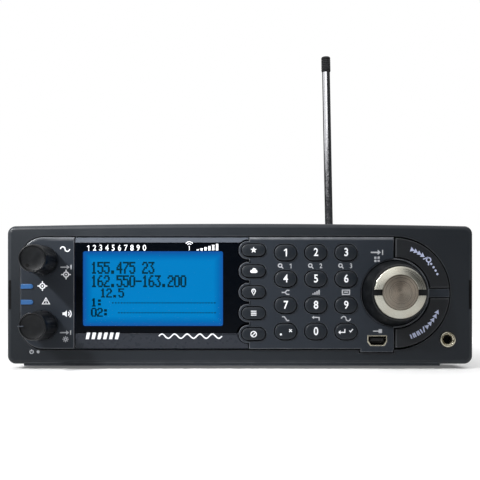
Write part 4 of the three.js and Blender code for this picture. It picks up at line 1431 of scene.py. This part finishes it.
def make_headphone_jack():
    """The jack's ring, with a rounded rim and a funnel, and the near-black end of its throat: the jack's dark
    insulator, deepened as painted shade.
    """
    front = span("headphone_jack")[0].y
    back = front + 12
    funnel = [(1.75, 1.0), (1.85, 0.8), (2.3, 0.45), (2.4, 0.15)]
    rim = [(2.55, 0), (2.7, 0), (2.95, 0.1), (3.12, 0.4)]
    b = Builder()
    profile = [(1.75, back)] + [(radius, front + depth) for radius, depth in funnel + rim]
    profile += [(3.12, FACE - 0.05), (2.45, FACE - 0.05), (2.45, back)]
    b.lathe(profile, PHONES, segments=64, closed=True)
    b.piece("headphone_ring", "nickel", "radio", replaces=["headphone_jack"])

    b = Builder()
    b.lathe([(0, front + 5), (1.74, front + 5), (1.74, front + 6), (0, front + 6)], PHONES, segments=32)
    # the throat's end: dark insulator, deepened as painted shade
    b.piece("headphone_throat", "groove", "radio")


# ------------------------------------------------------------------ antenna, from its jack's axis

ANTENNA_LEAN = math.radians(1.1)  # to the left, going up
ELBOW_Y = 25.8
EAR_RADIUS = 4.6
TUBE_TOP = 139.3
MAST_TOP = 148.7

def antenna_place():
    """The jack's axis at the rear of the case, leaning as the mast does."""
    return Matrix.Translation((JACK.x, REAR, JACK.z)) @ Matrix.Rotation(-ANTENNA_LEAN, 4, "Y")


def make_antenna_tubes():
    tubes = (
        ("antenna_tube_outer", "antenna_mast", 2.4, 2.05, 10.9),
        ("antenna_tube_middle", "antenna_middle", 1.85, 1.5, 13),
        ("antenna_tube_inner", "antenna_inner", 1.3, 0.98, 14),
    )
    for node, body, outer, inner, bottom in tubes:
        b = Builder(antenna_place())
        profile = [(0, bottom + 0.6), (inner, bottom + 0.6), (inner, TUBE_TOP), (outer - 0.12, TUBE_TOP)]
        profile += [(outer, TUBE_TOP - 0.15), (outer, bottom), (0, bottom)]
        b.lathe(profile, (0, ELBOW_Y, 0), "Z", 96)
        if node == "antenna_tube_outer":
            add_knuckle(b)
        b.piece(node + "_fine", "chrome", body, replaces=[node])


def make_antenna_tip():
    """The innermost rod and its ribbed cap."""
    profile = [(0, 15), (0.75, 15), (0.75, TUBE_TOP + 0.2), (2.5, TUBE_TOP + 0.2), (2.7, TUBE_TOP + 0.4)]
    ribs, pitch = 6, 1.1
    for k in range(ribs):
        rib = TUBE_TOP + 1.2 + k * pitch
        profile += [(2.8, rib), (2.8, rib + 0.55), (2.66, rib + 0.7), (2.66, rib + 0.95)]
    rounded_end = [(2.8, 0.9), (2.7, 0.4), (2.45, 0.1), (2.1, 0), (0, 0)]
    profile += [(radius, MAST_TOP - drop) for radius, drop in rounded_end]
    b = Builder(antenna_place())
    b.lathe(profile, (0, ELBOW_Y, 0), "Z", 48)
    b.piece("antenna_tip_cap", "black_plastic", "antenna_end", replaces=["antenna_tip"])


def add_knuckle(b):
    """The mast's foot: a disc that turns between the plug's ears, and a neck."""
    elbow = (0, ELBOW_Y, 0)
    turning_disc = [(1.5, -2.4), (4.0, -2.4), (4.2, -2.2), (4.2, 2.2), (4.0, 2.4), (1.5, 2.4)]
    b.lathe(turning_disc, elbow, "X", 40, closed=True)
    neck = [(0, 2), (2.3, 2), (2.3, 4.6), (3.2, 5.2), (3.3, 5.4), (3.3, 9.3), (3.1, 9.6), (2.4, 11)]
    neck.append((0, 11))
    b.lathe(neck, elbow, "Z", 40)


def make_antenna_plug():
    """The plug's body, the two ears around the mast's foot, and the hinge pin."""
    b = Builder(antenna_place())
    profile = [(2.2, 4.8), (3.8, 4.8), (3.8, 12.4), (4.2, 12.4), (4.2, 15.9), (5.8, 15.9), (6, 16.1)]
    profile += [(6, 19.7), (5.7, 20), (0, 20), (0, 14), (2.2, 14)]
    b.lathe(profile, (0, 0, 0), "Y", 48, closed=True)
    root = 19.5
    ear = [(root, -EAR_RADIUS), *arc(ELBOW_Y, 0, EAR_RADIUS, -90, 90, 20), (root, EAR_RADIUS)]
    for near, far in ((-2.8, -4.6), (2.8, 4.6)):
        b.loft([b.ring([(x, y, z) for y, z in ear]) for x in (near, far)])
    pin = [(0, -5.0), (1.3, -5.0), (1.5, -4.8), (1.1, -4.6), (1.1, 4.6), (1.5, 4.8), (1.3, 5.0), (0, 5.0)]
    b.lathe(pin, (0, ELBOW_Y, 0), "X", 24)
    b.piece("antenna_plug_fine", "nickel", "antenna_base", replaces=["antenna_plug"])


def make_antenna_collar():
    """The bayonet collar, with straight knurls around its grip."""
    profile = [(5.9, 3.0), (7.0, 3.0), (7.2, 3.2), (7.2, 8.0), (7.0, 8.4), (7.2, 8.8), (7.2, 15.2)]
    profile += [(7.0, 15.5), (4.6, 15.5), (4.6, 12.0), (5.9, 12.0)]
    knurls, knurl_depth = 48, 0.16

    def groove(radius, y, k):
        return knurl_depth if k % 2 and 8.5 < y < 15.3 and radius > 7 else 0

    b = Builder(antenna_place())
    b.lathe(profile, (0, 0, 0), segments=knurls * 2, closed=True, groove=groove)
    b.piece("antenna_collar_fine", "nickel", "antenna_lock", replaces=["antenna_collar"])


# ------------------------------------------------------------------ case, rear and feet


def refine(node, material, bevel=0.15):
    """A CAD node that keeps its shape: small bevels, smooth curves and a finished material."""
    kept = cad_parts[node]
    kept.data.materials.clear()
    kept.data.materials.append(MATERIAL[material])
    kept.data.shade_smooth()
    weld = kept.modifiers.new("weld", "WELD")
    weld.merge_threshold = 1e-6
    if bevel:
        flat = kept.modifiers.new("flat", "DECIMATE")
        flat.decimate_type = "DISSOLVE"
        flat.angle_limit = math.radians(1)
        edges = kept.modifiers.new("edges", "BEVEL")
        edges.width = bevel * MM
        edges.segments = 2
        edges.limit_method = "ANGLE"
        edges.angle_limit = math.radians(40)
    normals = kept.modifiers.new("normals", "WEIGHTED_NORMAL")
    normals.weight = 100


def refine_cad_nodes():
    shafts = ["squelch_shaft", "volume_shaft", "dial_shaft"]
    finishes = {
        ("case", 0.15): ["bottom_tray", "top_cover"],
        ("case", 0): ["rear_panel"],
        ("board", 0): ["main_board", "control_board"],
        ("silicone", 0): ["keypad_mat"],
        ("tin", 0.2): ["tuner_shield", "squelch_control", "volume_control", "dial_encoder", *shafts],
        ("tin", 0.15): ["serial_port"],
        ("black_plastic", 0.2): ["speaker", "record_jack", "speaker_jack", "power_jack"],
        ("nickel", 0.2): ["antenna_jack"],
    }
    for (material, bevel), nodes in finishes.items():
        for node in nodes:
            refine(node, material, bevel)


def plus_shape(reach, half):
    """A cross of four equal arms."""

    def outline(grow):
        arm = [(half + grow, -reach - grow), (half + grow, -half - grow), (reach + grow, -half - grow)]
        points = []
        for _ in range(4):
            points += arm
            arm = [(-z, x) for x, z in arm]
        return points

    return outline


def add_screw(b):
    """A pan-head screw at the builder's own origin, facing along -Y."""
    head = disc(0, 0, 2.4, 32)
    top = -1.35
    back, front = b.layers(head, [(0, 0), (0, -0.5), (-0.25, -0.95), (-0.7, -1.25), (-1.1, top)])
    rim, floor = b.layers(plus_shape(0.95, 0.26), [(0, top), (-0.12, -0.5)])
    b.fill(front, [rim])
    b.fill(floor)
    b.fill(back)


def make_screws():
    """Screws in the case's sides and its rear panel."""
    rear_low, rear_high = span("rear_panel")
    places = []
    for side in (-1, 1):
        turn = Matrix.Rotation(math.radians(90 * side), 4, "Z")
        for y in (FACE + 26, REAR - 8):
            places.append(("side", Matrix.Translation((side * COVER_HIGH.x, y, 47)) @ turn))
    half_turn = Matrix.Rotation(math.pi, 4, "Z")
    for x in (rear_low.x + 5, rear_high.x - 5):
        for z in (rear_low.z + 5, rear_high.z - 5):
            places.append(("rear", Matrix.Translation((x, rear_high.y, z)) @ half_turn))
    for k, (group, place) in enumerate(places):
        b = Builder(place)
        add_screw(b)
        b.piece(f"{group}_screw_{k + 1}", "screw", "radio")


def make_feet():
    """Four round rubber feet with a hollow for a screw."""
    rim = [(5.45, 0.9), (5.3, 0.4), (4.9, 0.1), (4.4, 0)]
    hollow = [(2.9, 0), (2.6, 0.2), (2.4, 1.8), (0, 1.8)]
    for end in ("front", "rear"):
        for side in ("left", "right"):
            node = f"foot_{end}_{side}"
            top = span(node)[1].z
            b = Builder()
            b.lathe([(0, top), (5.5, top), *rim, *hollow], middle(node), "Z", 48)
            b.piece(node + "_rubber", "foot", "radio", replaces=[node])


# ------------------------------------------------------------------ stage


def make_floor():
    """A pale floor that lies just below the feet."""
    size = 0.7
    mesh = bpy.data.meshes.new("floor")
    corners = [(-size, -size, 0), (size, -size, 0), (size, size, 0), (-size, size, 0)]
    mesh.from_pydata(corners, [], [(0, 1, 2, 3)])
    floor = bpy.data.objects.new("floor", mesh)
    floor.location.z = -0.0002
    bpy.context.scene.collection.objects.link(floor)
    shader = Shader("floor_white", (0.92, 0.92, 0.92, 1), 0.8, Specular_IOR_Level=0)
    shader.glow((1, 1, 1, 1), 0.14)
    mesh.materials.append(shader.material)


def add_softbox(name, place, target, size, power):
    light = bpy.data.lights.new(name, "AREA")
    light.shape = "RECTANGLE"
    light.size, light.size_y = size
    light.energy = power
    hang_lamp(name, light, place, target)


def hang_lamp(name, light, place, target):
    lamp = bpy.data.objects.new(name, light)
    lamp.location = place
    aim = Vector(target) - Vector(place)
    lamp.rotation_euler = aim.to_track_quat("-Z", "Y").to_euler()
    bpy.context.scene.collection.objects.link(lamp)


def add_spot(name, place, target, degrees, power):
    """A round, soft-edged pool of light."""
    light = bpy.data.lights.new(name, "SPOT")
    light.energy = power
    light.spot_size = math.radians(degrees)
    light.spot_blend = 1.0
    light.shadow_soft_size = 0.05
    hang_lamp(name, light, place, target)


def make_world():
    """Even, soft fill light, in front of a white background."""
    world = bpy.data.worlds.new("studio")
    world.use_nodes = True
    nodes, links = world.node_tree.nodes, world.node_tree.links
    fill = nodes["Background"]
    fill.inputs["Color"].default_value = (0.93, 0.96, 1, 1)
    fill.inputs["Strength"].default_value = 0.04
    white = nodes.new("ShaderNodeBackground")
    white.inputs["Color"].default_value = (1, 1, 1, 1)
    white.inputs["Strength"].default_value = 1.0
    ray = nodes.new("ShaderNodeLightPath")
    mix = nodes.new("ShaderNodeMixShader")
    links.new(ray.outputs["Is Camera Ray"], mix.inputs["Fac"])
    links.new(fill.outputs["Background"], mix.inputs[1])
    links.new(white.outputs["Background"], mix.inputs[2])
    links.new(mix.outputs["Shader"], nodes["World Output"].inputs["Surface"])
    bpy.context.scene.world = world
    bpy.context.scene.view_settings.view_transform = "Standard"


def make_lights():
    """Big softboxes in front, on the left and above, and a soft pool on the panel's top left corner."""
    add_softbox("front_light", place=(-0.55, -1.2, 0.95), target=(-0.55, 0, 0.4), size=(1.9, 1.1), power=10.5)
    add_softbox("left_light", place=(-1.6, -0.3, 0.95), target=(0, -0.3, 0.4), size=(1.8, 1.1), power=6)
    add_softbox("top_light", place=(0, 0.4, 1.6), target=(0, 0.4, 0), size=(4, 3.4), power=55)
    add_spot("corner_light", place=(-0.5, -0.5, 0.5), target=(-0.07, -0.08, 0.106), degrees=14, power=85)


def make_camera():
    """Level, a little below the panel's middle, and close, as the picture was taken."""
    distance, height = 0.3, 0.025
    pixels_per_mm = 2.536
    image_width = 480
    horizon_below_middle = 65.1  # in pixels
    camera = bpy.data.cameras.new("camera")
    camera.sensor_width = 36
    camera.lens = pixels_per_mm * distance / MM / image_width * camera.sensor_width
    camera.shift_y = horizon_below_middle / image_width
    camera.clip_start = 0.01
    camera_object = bpy.data.objects.new("camera", camera)
    camera_object.location = (0, FACE * MM - distance, height)
    camera_object.rotation_euler = (math.radians(90), 0, 0)
    bpy.context.scene.collection.objects.link(camera_object)
    bpy.context.scene.camera = camera_object


make_bezel()
make_lip()
make_release_slots()
make_keypad_plate()
make_knob_plate()
make_groove_bed()
make_dial_well()
make_bar_keys()
make_arc_keys()
make_small_knobs()
make_pointers()
make_dial()
make_dial_cap()
make_window()
make_screen()
make_panel_marks()
make_window_marks()
make_off_mark()
make_key_marks()
make_arc_key_marks()
make_light_pipes()
make_usb()
make_headphone_jack()
make_antenna_tubes()
make_antenna_tip()
make_antenna_plug()
make_antenna_collar()
refine_cad_nodes()
make_screws()
make_feet()
make_floor()
make_world()
make_lights()
make_camera()
